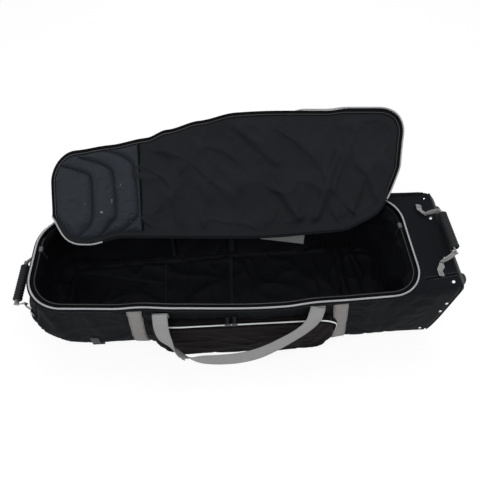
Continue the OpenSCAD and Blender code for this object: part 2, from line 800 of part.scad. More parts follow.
module rivets() {
    color(steel) {
        for (p = side_rivets, s = [-1, 1])
            translate([p[0], s * (flange_y(p[0], p[1]) + 0.5), p[1]]) rotate([-s * 90, 0, 0]) rivet();
        for (y = deck_rivets) translate([deck_rivet_x, y, deck_z(deck_rivet_x) + 0.3])
            rotate([0, -deck_tilt, 0]) rivet();
    }
}

// ---- Wheel end ----

wheel_r = wheel_d / 2;
wheel_x = face_x - wheel_r + 8;
wheel_z = wheel_r;
well_r = wheel_r + wheel_gap;
well_w = tyre_w + 4;
foot_y = 112;
foot_z = deck_h - 38;
spigot_r = 6;

// Outline of the bag's wheel end seen along X, offset outwards by g, its top lowered by drop
function end_section(g, drop = 0) =
    let (side = [for (f = ring_shares)
        [end_y(f) + g, max(floor_z, end_z(f) + (2 * f - 1) * g - (f >= floor_share ? drop : 0))]])
    concat(side, [for (i = [len(side) - 1:-1:0]) [-side[i][0], side[i][1]]]);

// The end cap's sleeve inside the fabric, its top sloping with the deck, offset outwards by g
module sleeve(g, from, to) {
    hull() {
        along_x(from, from + 0.1) polygon(end_section(g, (cap_x - from) * tan(deck_tilt)));
        along_x(to - 0.1, to) polygon(end_section(g));
    }
}

module along_x(from, to) {
    translate([from, 0, 0]) rotate([90, 0, 90]) linear_extrude(to - from) children();
}

// Side outline of a wheel's well with the radius r, open at the bottom and towards the face
module well_outline(r) {
    circle(r);
    translate([-r, -wheel_z]) square([2 * r, wheel_z]);
}

// Block of a well across the width w
module well(r, w) {
    rotate([90, 0, 0]) translate([0, 0, -w / 2]) linear_extrude(w) well_outline(r);
}

module end_cap() {
    inside = -cloth - sew_gap;
    color(plastic) difference() {
        union() {
            sleeve(inside, cap_x - flange_len, cap_x + 0.1);
            hull() {
                along_x(cap_x, cap_x + 0.5) polygon(end_section(0));
                along_x(face_x - 0.5, face_x) polygon(face_section(0));
            }
            translate([tray_x, -end_y(0) - inside, floor_z])
                cube([tray_len - cap_edge_r - 1, 2 * (end_y(0) + inside), wall]);
            for (k = [0:rib_count - 1])
                translate([face_x - 1, (k - (rib_count - 1) / 2) * 26 - rib_w / 2, 128])
                    cube([rib_h + 1, rib_w, 96]);
            for (s = [-1, 1]) translate([face_x - 1, s * foot_y, foot_z]) rotate([0, 90, 0])
                cylinder(d = foot_d + 4, h = rib_h + 1);
        }
        intersection() {
            sleeve(inside - wall, cap_x - flange_len - 1, cap_x + 0.1);
            translate([0, -rim_w, floor_z + wall]) cube([body_len, 2 * rim_w, 2 * rim_h]);
        }
        hull() {
            along_x(cap_x - 0.5, cap_x) intersection() {
                polygon(end_section(inside - wall));
                translate([-rim_w, floor_z + wall]) square([2 * rim_w, 2 * rim_h]);
            }
            along_x(face_x - wall - 0.5, face_x - wall) polygon(face_section(-wall));
        }
        for (s = [-1, 1]) {
            translate([wheel_x, s * track_w / 2, wheel_z]) well(well_r + wall + sew_gap, well_w + 2 * wall + 2 * sew_gap);
            translate([face_x - wall - 1, s * foot_y, foot_z]) rotate([0, 90, 0])
                cylinder(r = spigot_r + run_gap, h = wall + rib_h + 2);
        }
        for (p = side_rivets, s = [-1, 1]) side_drill(p, s, rivet_hole_r);
        for (y = deck_rivets) deck_drill(y, rivet_hole_r);
    }
}

// Outline of the end cap's face, drawn in from its edge
function face_section(g) =
    let (in = cap_edge_r - 2, y0 = end_y(0) - in + g, y1 = end_y(0.5) - in + g, z0 = floor_z + in - g,
        z1 = deck_h - in + g, c = 14)
    [[y0, z0], [y1, z0 + 60], [y1, z1 - c], [y1 - c, z1], [-y1 + c, z1], [-y1, z1 - c], [-y1, z0 + 60], [-y0, z0]];

module wheel_housing(side) {
    color(plastic) translate([wheel_x, side * track_w / 2, wheel_z]) difference() {
        intersection() {
            well(well_r + wall, well_w + 2 * wall);
            translate([-200 + face_x - wheel_x - 2, -60, floor_z - wheel_z]) cube([200, 120, 200]);
        }
        well(well_r, well_w);
        rotate([90, 0, 0]) translate([0, 0, -60]) cylinder(d = axle_d + 2 * run_gap, h = 120);
    }
}

module wheel_housing_front() { wheel_housing(-1); }
module wheel_housing_back() { wheel_housing(1); }

module stand_feet() {
    r = foot_d / 2;
    color(plastic) for (s = [-1, 1])
        translate([face_x + rib_h, s * foot_y, foot_z]) rotate([0, 90, 0]) rotate_extrude() polygon([
            [0, -wall - rib_h], [spigot_r, -wall - rib_h], [spigot_r, sew_gap], [r, sew_gap], [r, foot_len - 6],
            [r - 1.5, foot_len - 2.5], [r - 5, foot_len], [0, foot_len]
        ]);
}

// ---- Wheels ----

module on_axle(side) {
    translate([wheel_x, side * track_w / 2, wheel_z]) rotate([-side * 90, 0, 0]) children();
}

module axle(side) {
    half = well_w / 2 + wall;
    color(steel) on_axle(side) rotate_extrude() polygon([
        [0, -half - 2.5], [axle_d / 2, -half - 2.5], [axle_d / 2, half + sew_gap],
        [axle_d / 2 + 3, half + sew_gap], [axle_d / 2 + 3, half + 2], [axle_d / 2 + 1, half + 3], [0, half + 3]
    ]);
}

module axle_front() { axle(-1); }
module axle_back() { axle(1); }

module tyre(side) {
    r = wheel_r;
    h = tyre_w / 2;
    inner = hub_d / 2 + run_gap;
    color([0.12, 0.12, 0.12]) on_axle(side) rotate_extrude($fn = 72) polygon([
        [inner, -h + 3], [r - 7, -h], [r - 2.5, -h + 2], [r, -h + 7], [r, -3.5], [r - 1.2, -2.8], [r - 1.2, 2.8],
        [r, 3.5], [r, h - 7], [r - 2.5, h - 2], [r - 7, h], [inner, h - 3]
    ]);
}

module tyre_front() { tyre(-1); }
module tyre_back() { tyre(1); }

module hub(side) {
    h = tyre_w / 2 - 3;
    boss = bearing_d / 2 + 3;
    rim = hub_d / 2;
    seat = bearing_d / 2 + run_gap;
    color([0.35, 0.36, 0.38]) on_axle(side) difference() {
        rotate_extrude($fn = 72) polygon([
            [seat, -h], [boss, -h], [boss + 1, -3], [rim - 5, -3], [rim - 4, -h], [rim, -h],
            [rim, h], [rim - 4, h], [rim - 5, 3], [boss + 1, 3], [boss, h], [seat, h],
            [seat, h - bearing_w], [axle_d / 2 + 3, h - bearing_w], [axle_d / 2 + 3, -h + bearing_w],
            [seat, -h + bearing_w]
        ]);
        for (k = [0:4]) rotate([0, 0, 72 * k]) translate([(boss + rim - 4) / 2, 0, -10])
            cylinder(d = rim - boss - 8, h = 20);
    }
}

module hub_front() { hub(-1); }
module hub_back() { hub(1); }

module bearings(side) {
    h = tyre_w / 2 - 3;
    inner = axle_d / 2 + run_gap;
    outer = bearing_d / 2;
    color(steel) on_axle(side) for (z = [-h, h - bearing_w]) translate([0, 0, z])
        rotate_extrude() polygon([
            [inner, 0.2], [inner + 2, 0.2], [inner + 2.2, 0.9], [outer - 2.2, 0.9], [outer - 2, 0.2],
            [outer, 0.2], [outer, bearing_w - 0.2], [outer - 2, bearing_w - 0.2],
            [outer - 2.2, bearing_w - 0.9], [inner + 2.2, bearing_w - 0.9], [inner + 2, bearing_w - 0.2],
            [inner, bearing_w - 0.2]
        ]);
}

module bearings_front() { bearings(-1); }
module bearings_back() { bearings(1); }

module skid_rails() {
    color(plastic) for (k = [-1:1]) translate([0, k * rail_spread / 2, 0]) {
        linear_extrude(rail_h - sew_gap) {
            square([rail_len - rail_w, rail_w], center = true);
            for (s = [-1, 1]) translate([s * (rail_len - rail_w) / 2, 0]) circle(d = rail_w);
        }
    }
}

// ---- Lid, drawn closed and thrown open ----

module thrown_open() {
    translate([0, fold_y, fold_z]) rotate([-lid_open, 0, 0]) translate([0, -fold_y, -fold_z]) children();
}

module lid_panel() {
    under = [for (j = [len(dome_steps) - 1:-1:0]) let (d = dome_steps[j])
        plan(-skin_in - d[0], lid_skin_z + dome_h * d[1])];
    over = [for (d = dome_steps) plan(-skin_in - d[0] + (d[0] > 0 ? 1 : 0), lid_skin_z + dome_h * d[1] + cloth)];
    color(black_cloth) thrown_open() loft(concat(under, over));
}

module lid_lining() {
    color(lid_cloth) thrown_open() translate([0, 0, lid_lining_z]) linear_extrude(lining_t)
        polygon(flat(plan(-skin_in, 0)));
}

module lid_quilt_pad() {
    edge = tape_w + skin_in + 1;
    color(quilt_cloth) thrown_open() translate([0, 0, lid_lining_z - sew_gap - quilt_t]) linear_extrude(quilt_t)
        intersection() {
            polygon(flat(plan(-edge, 0)));
            translate([left_x, -rim_w]) square([quilt_len + edge, 2 * rim_w]);
        }
}

module lid_piping() {
    color(light_grey) thrown_open() hoop(circle_profile(-lid_in, lid_piping_z, piping_r, 8));
}

module lid_zipper_tape() {
    color(dark_lining) thrown_open() part_hoop(
        box_profile(-skin_in - tape_w, -skin_in, lid_tape_z, lid_tape_z + tape_t), first_tooth, columns);
}

module lid_zipper_coil() {
    color(dark_lining) thrown_open() part_hoop(
        box_profile(-coil_in - coil_w, -coil_in, lid_tape_z - coil_h, lid_tape_z), first_tooth, columns);
}

module lid_outer_pocket() {
    z0 = lid_skin_z + dome_h + cloth + sew_gap;
    x1 = deck_x - skin_in - 54;
    y0 = -rim_right_w / 2 + skin_in + 54;
    y1 = y0 + 150;
    function ring(in, z) = outline([for (p = [
        [x1 - in, y1 - in], [x1 - lid_pocket_len + in, y1 - in], [x1 - lid_pocket_len + in, y0 + in], [x1 - in, y0 + in]
    ]) [p[0], p[1], z, 24, 4]]);
    color(black_cloth) thrown_open() loft([
        ring(0, z0), ring(0, z0 + lid_pocket_t * 0.5), ring(7, z0 + lid_pocket_t * 0.85), ring(22, z0 + lid_pocket_t)
    ]);
}

// ---- Zipper sliders ----

slider_len = 15;
pull_w = 9;
pull_t = 1.6;

// Slider that grips the rim's zipper from its inner edge, which lies at x = 0 with the tape towards +X
module rim_slider() {
    top = tape_top + coil_h + slide_gap;
    low = tape_top - tape_t - slide_gap;
    rotate([90, 0, 0]) translate([0, 0, -slider_len / 2]) linear_extrude(slider_len) polygon([
        [-1.8 - slide_gap, low - 1.4], [7, low - 1.4], [7, low], [-slide_gap, low], [-slide_gap, top], [7, top],
        [7, top + 1.2], [-1.8 - slide_gap, top + 1.2]
    ]);
}

// Tape that hangs from such a slider
module rim_pull() {
    z = tape_top - tape_t - slide_gap - 1.4 - sew_gap;
    strap([[3, 0, z], [3, 0, z - 12], [2, 0, z - 30], [2, 0, z - 46]], [0, 1, 0], pull_w, pull_t);
}

slider_in = piping_r + tape_w;
left_slide_y = 36;
right_slide_y = 62;

module main_slider_left() {
    color(steel) translate([left_x + slider_in, left_slide_y, 0]) mirror([1, 0, 0]) rim_slider();
}

module main_slider_right() {
    color(steel) translate([deck_x - slider_in, right_slide_y, 0]) rim_slider();
}

module main_pull_left() {
    color(plastic) translate([left_x + slider_in, left_slide_y, 0]) mirror([1, 0, 0]) rim_pull();
}

module main_pull_right() {
    color(plastic) translate([deck_x - slider_in, right_slide_y, 0]) rim_pull();
}

slide_x = [-26, -8];

// Saddle that rides on the pocket's zipper coil at x
module pocket_slider(x) {
    z = pocket_top + sew_gap + tape_t;
    in = coil_w / 2 + slide_gap;
    translate([x - slider_len / 2, zip_y + coil_w * 1.5, z]) rotate([90, 0, 90]) linear_extrude(slider_len)
        polygon([
            [-in - 1.6, slide_gap], [-in, slide_gap], [-in, coil_h + slide_gap], [in, coil_h + slide_gap],
            [in, slide_gap], [in + 1.6, slide_gap], [in + 1.6, coil_h + slide_gap + 0.6],
            [in + 0.6, coil_h + slide_gap + 1.6], [-in - 0.6, coil_h + slide_gap + 1.6],
            [-in - 1.6, coil_h + slide_gap + 0.6]
        ]);
}

// Tape that leans back from the slider towards the wall
module pocket_pull(x) {
    y = zip_y + coil_w * 1.5;
    z = pocket_top + sew_gap + tape_t + coil_h + slide_gap + 1.6 + sew_gap;
    strap([[x, y + 1, z + 0.8], [x, y + 4, z + 4], [x, y + 6, z + 12], [x, y + 8, z + 26]], [1, 0, 0], pull_w, pull_t);
}

module pocket_slider_left() { color(steel) pocket_slider(slide_x[0]); }
module pocket_slider_right() { color(steel) pocket_slider(slide_x[1]); }
module pocket_pull_left() { color(plastic) pocket_pull(slide_x[0]); }
module pocket_pull_right() { color(plastic) pocket_pull(slide_x[1]); }

front_panel();
back_panel();
left_end_panel();
deck_panel();
bottom_panel();
lining();
base_board();
rim_piping();
rim_zipper_tape();
rim_zipper_coil();
hinge_gusset();
inner_pocket_left();
inner_pocket_right();
divider_strap();
wall_patch();
front_pocket();
pocket_zipper_tape();
pocket_zipper_coil();
left_band();
right_band();
lash_strap();
lash_buckle();
skid_rails();
end_cap();
wheel_housing_front();
wheel_housing_back();
stand_feet();
rivets();
axle_front();
axle_back();
tyre_front();
tyre_back();
hub_front();
hub_back();
bearings_front();
bearings_back();
lid_panel();
lid_lining();
lid_quilt_pad();
lid_piping();
lid_zipper_tape();
lid_zipper_coil();
lid_outer_pocket();
front_handle();
rear_handle();
handle_tabs();
grip_tabs();
left_grip();
left_grip_webbing();
wheel_grip();
wheel_grip_webbing();
main_slider_left();
main_slider_right();
main_pull_left();
main_pull_right();
pocket_slider_left();
pocket_slider_right();
pocket_pull_left();
pocket_pull_right();
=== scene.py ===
"""Looks of the wheeled hockey equipment bag: cloth, webbing, zippers and materials round the CAD part.

Everything is in metres in the row frame: +X to the wheel end, -Y to the pocket side, +Z up.
"""
import json
import math

import bpy
import numpy as np
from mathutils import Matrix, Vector, noise
from mathutils.bvhtree import BVHTree


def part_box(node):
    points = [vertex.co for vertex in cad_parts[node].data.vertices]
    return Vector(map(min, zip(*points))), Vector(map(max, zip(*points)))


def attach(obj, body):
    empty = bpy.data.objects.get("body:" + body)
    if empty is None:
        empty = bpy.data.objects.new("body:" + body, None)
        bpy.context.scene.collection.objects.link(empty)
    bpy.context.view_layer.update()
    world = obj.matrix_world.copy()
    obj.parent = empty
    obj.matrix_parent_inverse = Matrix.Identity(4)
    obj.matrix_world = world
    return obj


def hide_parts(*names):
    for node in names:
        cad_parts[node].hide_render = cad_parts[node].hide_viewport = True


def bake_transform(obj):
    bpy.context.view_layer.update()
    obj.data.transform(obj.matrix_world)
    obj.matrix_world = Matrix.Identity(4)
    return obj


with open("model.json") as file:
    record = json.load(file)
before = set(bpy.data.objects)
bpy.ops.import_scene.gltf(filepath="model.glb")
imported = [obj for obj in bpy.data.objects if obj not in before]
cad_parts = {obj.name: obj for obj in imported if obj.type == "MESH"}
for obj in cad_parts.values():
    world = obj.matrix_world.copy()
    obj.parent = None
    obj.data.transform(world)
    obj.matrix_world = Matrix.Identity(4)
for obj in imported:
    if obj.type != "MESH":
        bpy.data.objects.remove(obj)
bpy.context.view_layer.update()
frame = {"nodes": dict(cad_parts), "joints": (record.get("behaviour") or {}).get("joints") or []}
joints = {j["name"]: j for j in frame["joints"]}


# ---- Camera ----

def make_camera():
    data = bpy.data.cameras.new("camera")
    data.sensor_width = 36.0
    data.lens = 34.05
    camera = bpy.data.objects.new("camera", data)
    bpy.context.scene.collection.objects.link(camera)
    camera.location = (-0.020, -0.664, 1.294)
    yaw, pitch = math.radians(3.1), math.radians(55.9)
    forward = Vector((math.sin(yaw) * math.cos(pitch), math.cos(yaw) * math.cos(pitch), -math.sin(pitch)))
    camera.rotation_euler = forward.to_track_quat("-Z", "Y").to_euler()
    bpy.context.scene.camera = camera


make_camera()


# ---- Sizes, read off the frame ----

def low(node):
    return np.array(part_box(node)[0])


def high(node):
    return np.array(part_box(node)[1])


def middle(node):
    return (low(node) + high(node)) / 2


PIPING_R = (high("rim_piping")[2] - low("rim_piping")[2]) / 2
RIM_Z = middle("rim_piping")[2]
RIM_HALF = high("rim_piping")[1] - PIPING_R
LEFT_X = low("rim_piping")[0] + PIPING_R
DECK_X = high("rim_piping")[0] - PIPING_R
CAP_X = high("deck_panel")[0] + 0.0003
DECK_TOP = high("deck_panel")[2]
FLOOR_Z = low("front_panel")[2]
WALL_TOP = RIM_Z - PIPING_R - 0.0003
LEFT_BULGE = LEFT_X - low("left_end_panel")[0]
LEFT_HALF = 0.141
RIGHT_HALF = 0.154
LEFT_R, RIGHT_R = 0.100, 0.085
BELLY_X, BELLY_R = 0.076, 1.5   # where the long sides bend, and the bend's radius
SHOULDER_X = DECK_X - 0.110   # where the rim starts to rise towards the deck
SIDE_BULGE = 0.007
TUCK, TUCK_RIGHT = 0.022, 0.008   # how far the walls are drawn in at their foot
DECK_SHARE = 0.95   # share of the wall's height at which the deck begins
CLOTH_T = 0.003

hinge = joints["lid_hinge"]["pos_m"]
FOLD_Y, FOLD_Z = hinge[1], hinge[2]
LID_LEAN = math.radians(40)
LID_IN = 2 * PIPING_R + 0.001


# ---- Small helpers ----

def lerp(a, b, t):
    return a + (b - a) * t


def ease(t):
    t = np.clip(t, 0, 1)
    return t * t * (3 - 2 * t)


def bump(x, centre, width):
    """Smooth hill of height 1 at the centre, with the given half width."""
    return np.exp(-((x - centre) / width) ** 2)


def profile(x, stations):
    """Smooth curve through (place, value) stations."""
    xs = np.array([s[0] for s in stations])
    ys = np.array([s[1] for s in stations])
    i = np.clip(np.searchsorted(xs, x) - 1, 0, len(xs) - 2)
    return lerp(ys[i], ys[i + 1], ease((x - xs[i]) / (xs[i + 1] - xs[i])))


def unit(v):
    return v / np.maximum(np.linalg.norm(v, axis=-1, keepdims=True), 1e-12)


def noise_at(points, scale, seed=0.0):
    """Smooth noise from -1 to 1 at each point; scale is one number or three, in waves a metre."""
    flat = (np.asarray(points).reshape(-1, 3) * np.array(scale)) + seed
    return np.array([noise.noise(Vector(p)) for p in flat]).reshape(np.asarray(points).shape[:-1])


def ridges(points, scale, seed=0.0, sharp=2.0):
    """Creases: 1 along thin lines and 0 between them."""
    return (1 - np.abs(noise_at(points, scale, seed))) ** (2 * sharp)


def smooth(grid, times=1, closed=False):
    """Laplacian smoothing of a grid (rows, columns, 3) that keeps its border."""
    g = grid.copy()
    for _ in range(times):
        if closed:
            inner = (np.roll(g, 1, 1) + np.roll(g, -1, 1))[1:-1] + g[:-2] + g[2:]
            g[1:-1] = g[1:-1] * 0.5 + inner * 0.125
        else:
            inner = g[1:-1, :-2] + g[1:-1, 2:] + g[:-2, 1:-1] + g[2:, 1:-1]
            g[1:-1, 1:-1] = g[1:-1, 1:-1] * 0.5 + inner * 0.125
    return g


def normals(grid, closed=False):
    """Unit normals of a grid whose rows go up and columns go right as seen from outside."""
    up = np.gradient(grid, axis=0)
    if closed:
        across = np.roll(grid, -1, 1) - np.roll(grid, 1, 1)
    else:
        across = np.gradient(grid, axis=1)
    return unit(np.cross(across, up))


# ---- Meshes ----

def mesh_object(name, points, faces, uvs=None, smooth_shade=True):
    data = bpy.data.meshes.new(name)
    data.from_pydata([tuple(p) for p in points], [], [tuple(int(i) for i in f) for f in faces])
    if uvs is not None:
        layer = data.uv_layers.new(name="cloth")
        loops = np.zeros(len(data.loops), dtype=np.int32)
        data.loops.foreach_get("vertex_index", loops)
        layer.data.foreach_set("uv", np.asarray(uvs, dtype=np.float32)[loops].ravel())
    data.polygons.foreach_set("use_smooth", [smooth_shade] * len(data.polygons))
    data.update()
    obj = bpy.data.objects.new(name, data)
    bpy.context.scene.collection.objects.link(obj)
    return obj


def grid_quads(rows, cols, closed=False, start=0, flip=False):
    j, i = np.meshgrid(np.arange(rows - 1), np.arange(cols if closed else cols - 1), indexing="ij")
    k = (i + 1) % cols
    quads = np.stack([j * cols + i, j * cols + k, (j + 1) * cols + k, (j + 1) * cols + i],
                     -1).reshape(-1, 4) + start
    return quads[:, ::-1] if flip else quads


def lengths(grid, closed=False):
    """Distances in metres along the middle column and the middle row, as UVs of the grid."""
    rows, cols = grid.shape[:2]
    v = np.concatenate([[0], np.cumsum(np.linalg.norm(np.diff(grid[:, cols // 2], axis=0), axis=-1))])
    u = np.concatenate([[0], np.cumsum(np.linalg.norm(np.diff(grid[rows // 2], axis=0), axis=-1))])
    return np.stack(np.meshgrid(u, v), -1).reshape(-1, 2)


def skin(name, grid, thick, closed=False):
    """Closed sheet of cloth: the grid is its outer face, and its inner face lies thick behind it."""
    rows, cols = grid.shape[:2]
    inner = grid - normals(grid, closed) * thick
    n = rows * cols
    faces = [grid_quads(rows, cols, closed), grid_quads(rows, cols, closed, n, flip=True)]
    count = cols if closed else cols - 1
    i = np.arange(count)
    k = (i + 1) % cols
    last = (rows - 1) * cols
    faces.append(np.stack([i, i + n, k + n, k], -1))
    faces.append(np.stack([last + i, last + k, last + k + n, last + i + n], -1))
    if not closed:
        j = np.arange(rows - 1) * cols
        faces.append(np.stack([j, j + cols, j + cols + n, j + n], -1))
        e = j + cols - 1
        faces.append(np.stack([e, e + n, e + cols + n, e + cols], -1))
    uv = lengths(grid, closed)
    return mesh_object(name, np.concatenate([grid.reshape(-1, 3), inner.reshape(-1, 3)]),
                       np.concatenate(faces), np.concatenate([uv, uv]))


def frames_along(path, up, closed=False):
    """Tangents, sides and ups along a path; up is one direction or one a point."""
    path = np.asarray(path, float)
    if closed:
        tangent = unit(np.roll(path, -1, 0) - np.roll(path, 1, 0))
    else:
        tangent = unit(np.gradient(path, axis=0))
    up = np.broadcast_to(np.asarray(up, float), path.shape)
    side = unit(np.cross(tangent, up))
    return tangent, side, unit(np.cross(side, tangent))


def sweep(name, path, up, section, closed=False):
    """Solid with the section [(side, up), ...] along a path; the section may be one a point."""
    path = np.asarray(path, float)
    _, side, top = frames_along(path, up, closed)
    section = np.asarray(section, float)
    if section.ndim == 2:
        section = np.broadcast_to(section, (len(path),) + section.shape)
    ring = path[:, None] + side[:, None] * section[..., :1] + top[:, None] * section[..., 1:]
    rows, cols = ring.shape[:2]
    faces = [grid_quads(rows, cols, True)]
    if closed:
        i = np.arange(cols)
        k = (i + 1) % cols
        last = (rows - 1) * cols
        faces.append(np.stack([last + i, last + k, k, i], -1))
    faces = [tuple(f) for part in faces for f in part]
    if not closed:
        faces.append(tuple(range(cols - 1, -1, -1)))
        faces.append(tuple((rows - 1) * cols + i for i in range(cols)))
    faces = [f[::-1] for f in faces]
    along = np.concatenate([[0], np.cumsum(np.linalg.norm(np.diff(path, axis=0), axis=-1))])
    around = np.concatenate([[0], np.cumsum(np.linalg.norm(np.diff(section[0], axis=0), axis=-1))])
    uv = np.stack(np.meshgrid(around, along), -1).reshape(-1, 2)
    return mesh_object(name, ring.reshape(-1, 3), faces, uv)


def round_section(r, sides=10):
    a = np.arange(sides) * 2 * math.pi / sides
    return np.stack([r * np.cos(a), r * np.sin(a)], -1)


def flat_section(width, thick, crown=0.0, points=7):
    """Section of a strap with soft edges: width across, thick upwards."""
    s = np.linspace(-1, 1, points)
    half = thick / 2 * np.where(np.abs(s) > 0.99, 0.45, 1)
    top = np.stack([s * width / 2, half + crown * (1 - s * s)], -1)
    under = np.stack([s[::-1] * width / 2, -half + crown * (1 - s * s)], -1)
    return np.concatenate([under[::-1], top[::-1]])


def resample(path, step, closed=False):
    """The same path with points a step apart."""
    path = np.asarray(path, float)
    if closed:
        path = np.vstack([path, path[:1]])
    far = np.concatenate([[0], np.cumsum(np.linalg.norm(np.diff(path, axis=0), axis=-1))])
    count = max(2, int(round(far[-1] / step)) + 1)
    s = np.linspace(0, far[-1], count)
    out = np.stack([np.interp(s, far, path[:, k]) for k in range(3)], -1)
    return out[:-1] if closed else out


def curve_through(points, step=0.004):
    """Catmull-Rom curve through the points, resampled evenly."""
    p = np.asarray(points, float)
    p = np.vstack([2 * p[0] - p[1], p, 2 * p[-1] - p[-2]])
    out = []
    for k in range(1, len(p) - 2):
        for t in np.linspace(0, 1, 12, endpoint=False):
            a, b, c, d = p[k - 1:k + 3]
            out.append(0.5 * (2 * b + (c - a) * t + (2 * a - 5 * b + 4 * c - d) * t * t
                              + (3 * b - a - 3 * c + d) * t ** 3))
    out.append(p[-2])
    return resample(np.array(out), step)


def many(name, places, tangents, ups, size, bevel=0.25):
    """Many small rounded blocks, such as teeth or stitches, as one mesh; size is (along, across, tall)."""
    x, y, z = (s / 2 for s in size)
    b = bevel * min(y, z)
    section = [(-y, -z + b), (-y + b, -z), (y - b, -z), (y, -z + b), (y, z - b), (y - b, z), (-y + b, z),
               (-y, z - b)]
    block = np.array([(end * x, p, q) for end in (-1, 1) for p, q in section])
    tangents, ups = unit(np.asarray(tangents)), np.asarray(ups)
    sides = unit(np.cross(ups, tangents))
    tops = unit(np.cross(tangents, sides))
    places = np.asarray(places)
    pts = (places[:, None] + tangents[:, None] * block[None, :, :1] + sides[:, None] * block[None, :, 1:2]
           + tops[:, None] * block[None, :, 2:])
    one = [tuple(range(7, -1, -1)), tuple(range(8, 16))] + [(i, (i + 1) % 8, 8 + (i + 1) % 8, 8 + i)
                                                            for i in range(8)]
    faces = [tuple(16 * k + i for i in f) for k in range(len(places)) for f in one]
    return mesh_object(name, pts.reshape(-1, 3), faces, smooth_shade=False)


# ---- Materials ----

def nodes_of(name, colour, rough, metallic=0.0, sheen=0.0, specular=0.5):
    material = bpy.data.materials.new(name)
    material.use_nodes = True
    material.diffuse_color = (*colour, 1)
    shader = material.node_tree.nodes["Principled BSDF"]
    shader.inputs["Roughness"].default_value = rough
    shader.inputs["Metallic"].default_value = metallic
    shader.inputs["Specular IOR Level"].default_value = specular
    shader.inputs["Sheen Weight"].default_value = sheen
    shader.inputs["Sheen Roughness"].default_value = 0.5
    return material, shader


class Net:
    """Short names for adding nodes to a material or the world and linking them."""

    def __init__(self, owner):
        self.tree = owner.node_tree

    def add(self, kind, inputs=(), **settings):
        node = self.tree.nodes.new(kind)
        for key, value in settings.items():
            setattr(node, key, value)
        for key, value in dict(inputs).items():
            self.put(node.inputs[key], value)
        return node

    def put(self, socket, value):
        if isinstance(value, bpy.types.NodeSocket):
            self.tree.links.new(value, socket)
        else:
            socket.default_value = value

    def maths(self, operation, a, b=0.0, c=0.0):
        node = self.add("ShaderNodeMath", operation=operation)
        for socket, value in zip(node.inputs, (a, b, c)):
            self.put(socket, value)
        return node.outputs[0]

    def noise(self, vector, scale, detail=3.0, rough=0.5):
        node = self.add("ShaderNodeTexNoise", {"Vector": vector, "Scale": scale, "Detail": detail,
                                               "Roughness": rough})
        return node.outputs["Fac"]

    def ramp(self, value, stops):
        node = self.add("ShaderNodeValToRGB", {"Fac": value})
        elements = node.color_ramp.elements
        while len(elements) < len(stops):
            elements.new(0.5)
        for element, (place, colour) in zip(elements, stops):
            element.position = place
            element.color = colour if len(colour) == 4 else (*colour, 1)
        return node.outputs["Color"]

    def mix(self, factor, a, b):
        node = self.add("ShaderNodeMix", data_type="RGBA")
        self.put(node.inputs[0], factor)
        for socket, value in zip([s for s in node.inputs if s.type == "RGBA"], (a, b)):
            self.put(socket, value if isinstance(value, bpy.types.NodeSocket) else (*value, 1))
        return [s for s in node.outputs if s.type == "RGBA"][0]

    def bump(self, height, strength, distance, normal=None):
        node = self.add("ShaderNodeBump", {"Height": height, "Strength": strength, "Distance": distance})
        if normal is not None:
            self.put(node.inputs["Normal"], normal)
        return node.outputs["Normal"]


def shade(c, k):
    """The colour c made k times as bright."""
    return tuple(min(1.0, v * k) for v in c)


def cloth_material(name, colour, thread=0.0009, rough=0.62, sheen=0.25, uneven=0.3, scuffs=0.0, specular=0.4):
    """Plain-woven nylon: threads a thread apart across and along the piece's own cloth UVs, with a painted
    highlight on the raised threads.
    """
    material, shader = nodes_of(name, colour, rough, sheen=sheen, specular=specular)
    net = Net(material)
    place = net.add("ShaderNodeTexCoord")
    uv, obj = place.outputs["UV"], place.outputs["Object"]
    split = net.add("ShaderNodeSeparateXYZ", {"Vector": uv})
    turns = 2 * math.pi / (2 * thread)
    warp = net.maths("SINE", net.maths("MULTIPLY", split.outputs[0], turns))
    weft = net.maths("SINE", net.maths("MULTIPLY", split.outputs[1], turns))
    weave = net.maths("MULTIPLY", warp, weft)
    weave_01 = net.maths("MULTIPLY_ADD", weave, 0.5, 0.5)
    cloudy = net.noise(obj, 9.0, 4.0, 0.6)
    fine = net.noise(obj, 240.0, 2.0)
    tint = net.mix(cloudy, shade(colour, 1 - uneven), shade(colour, 1 + uneven))
    # Painted highlight: where the weave's height is greatest, the raised threads are drawn lighter, towards
    # 1.7 times the colour.
    tint = net.mix(net.maths("MULTIPLY", weave_01, 0.16), tint, shade(colour, 1.7))
    if scuffs:
        spots = net.ramp(net.noise(obj, 34.0, 5.0, 0.72), [(0.66, (0, 0, 0)), (0.74, (1, 1, 1))])
        tint = net.mix(net.maths("MULTIPLY", spots, scuffs), tint, (0.5, 0.52, 0.55))
    net.put(shader.inputs["Base Color"], tint)
    net.put(shader.inputs["Roughness"],
            net.maths("ADD", net.maths("MULTIPLY_ADD", cloudy, 0.22, rough - 0.11),
                      net.maths("MULTIPLY", fine, 0.06)))
    height = net.maths("ADD", net.maths("MULTIPLY", weave_01, 0.7), net.maths("MULTIPLY", fine, 0.5))
    crumple = net.noise(obj, 28.0, 5.0, 0.6)
    soft = net.bump(crumple, 0.35, 0.004)
    net.put(shader.inputs["Normal"], net.bump(height, 0.5, 0.0004, soft))
    return material


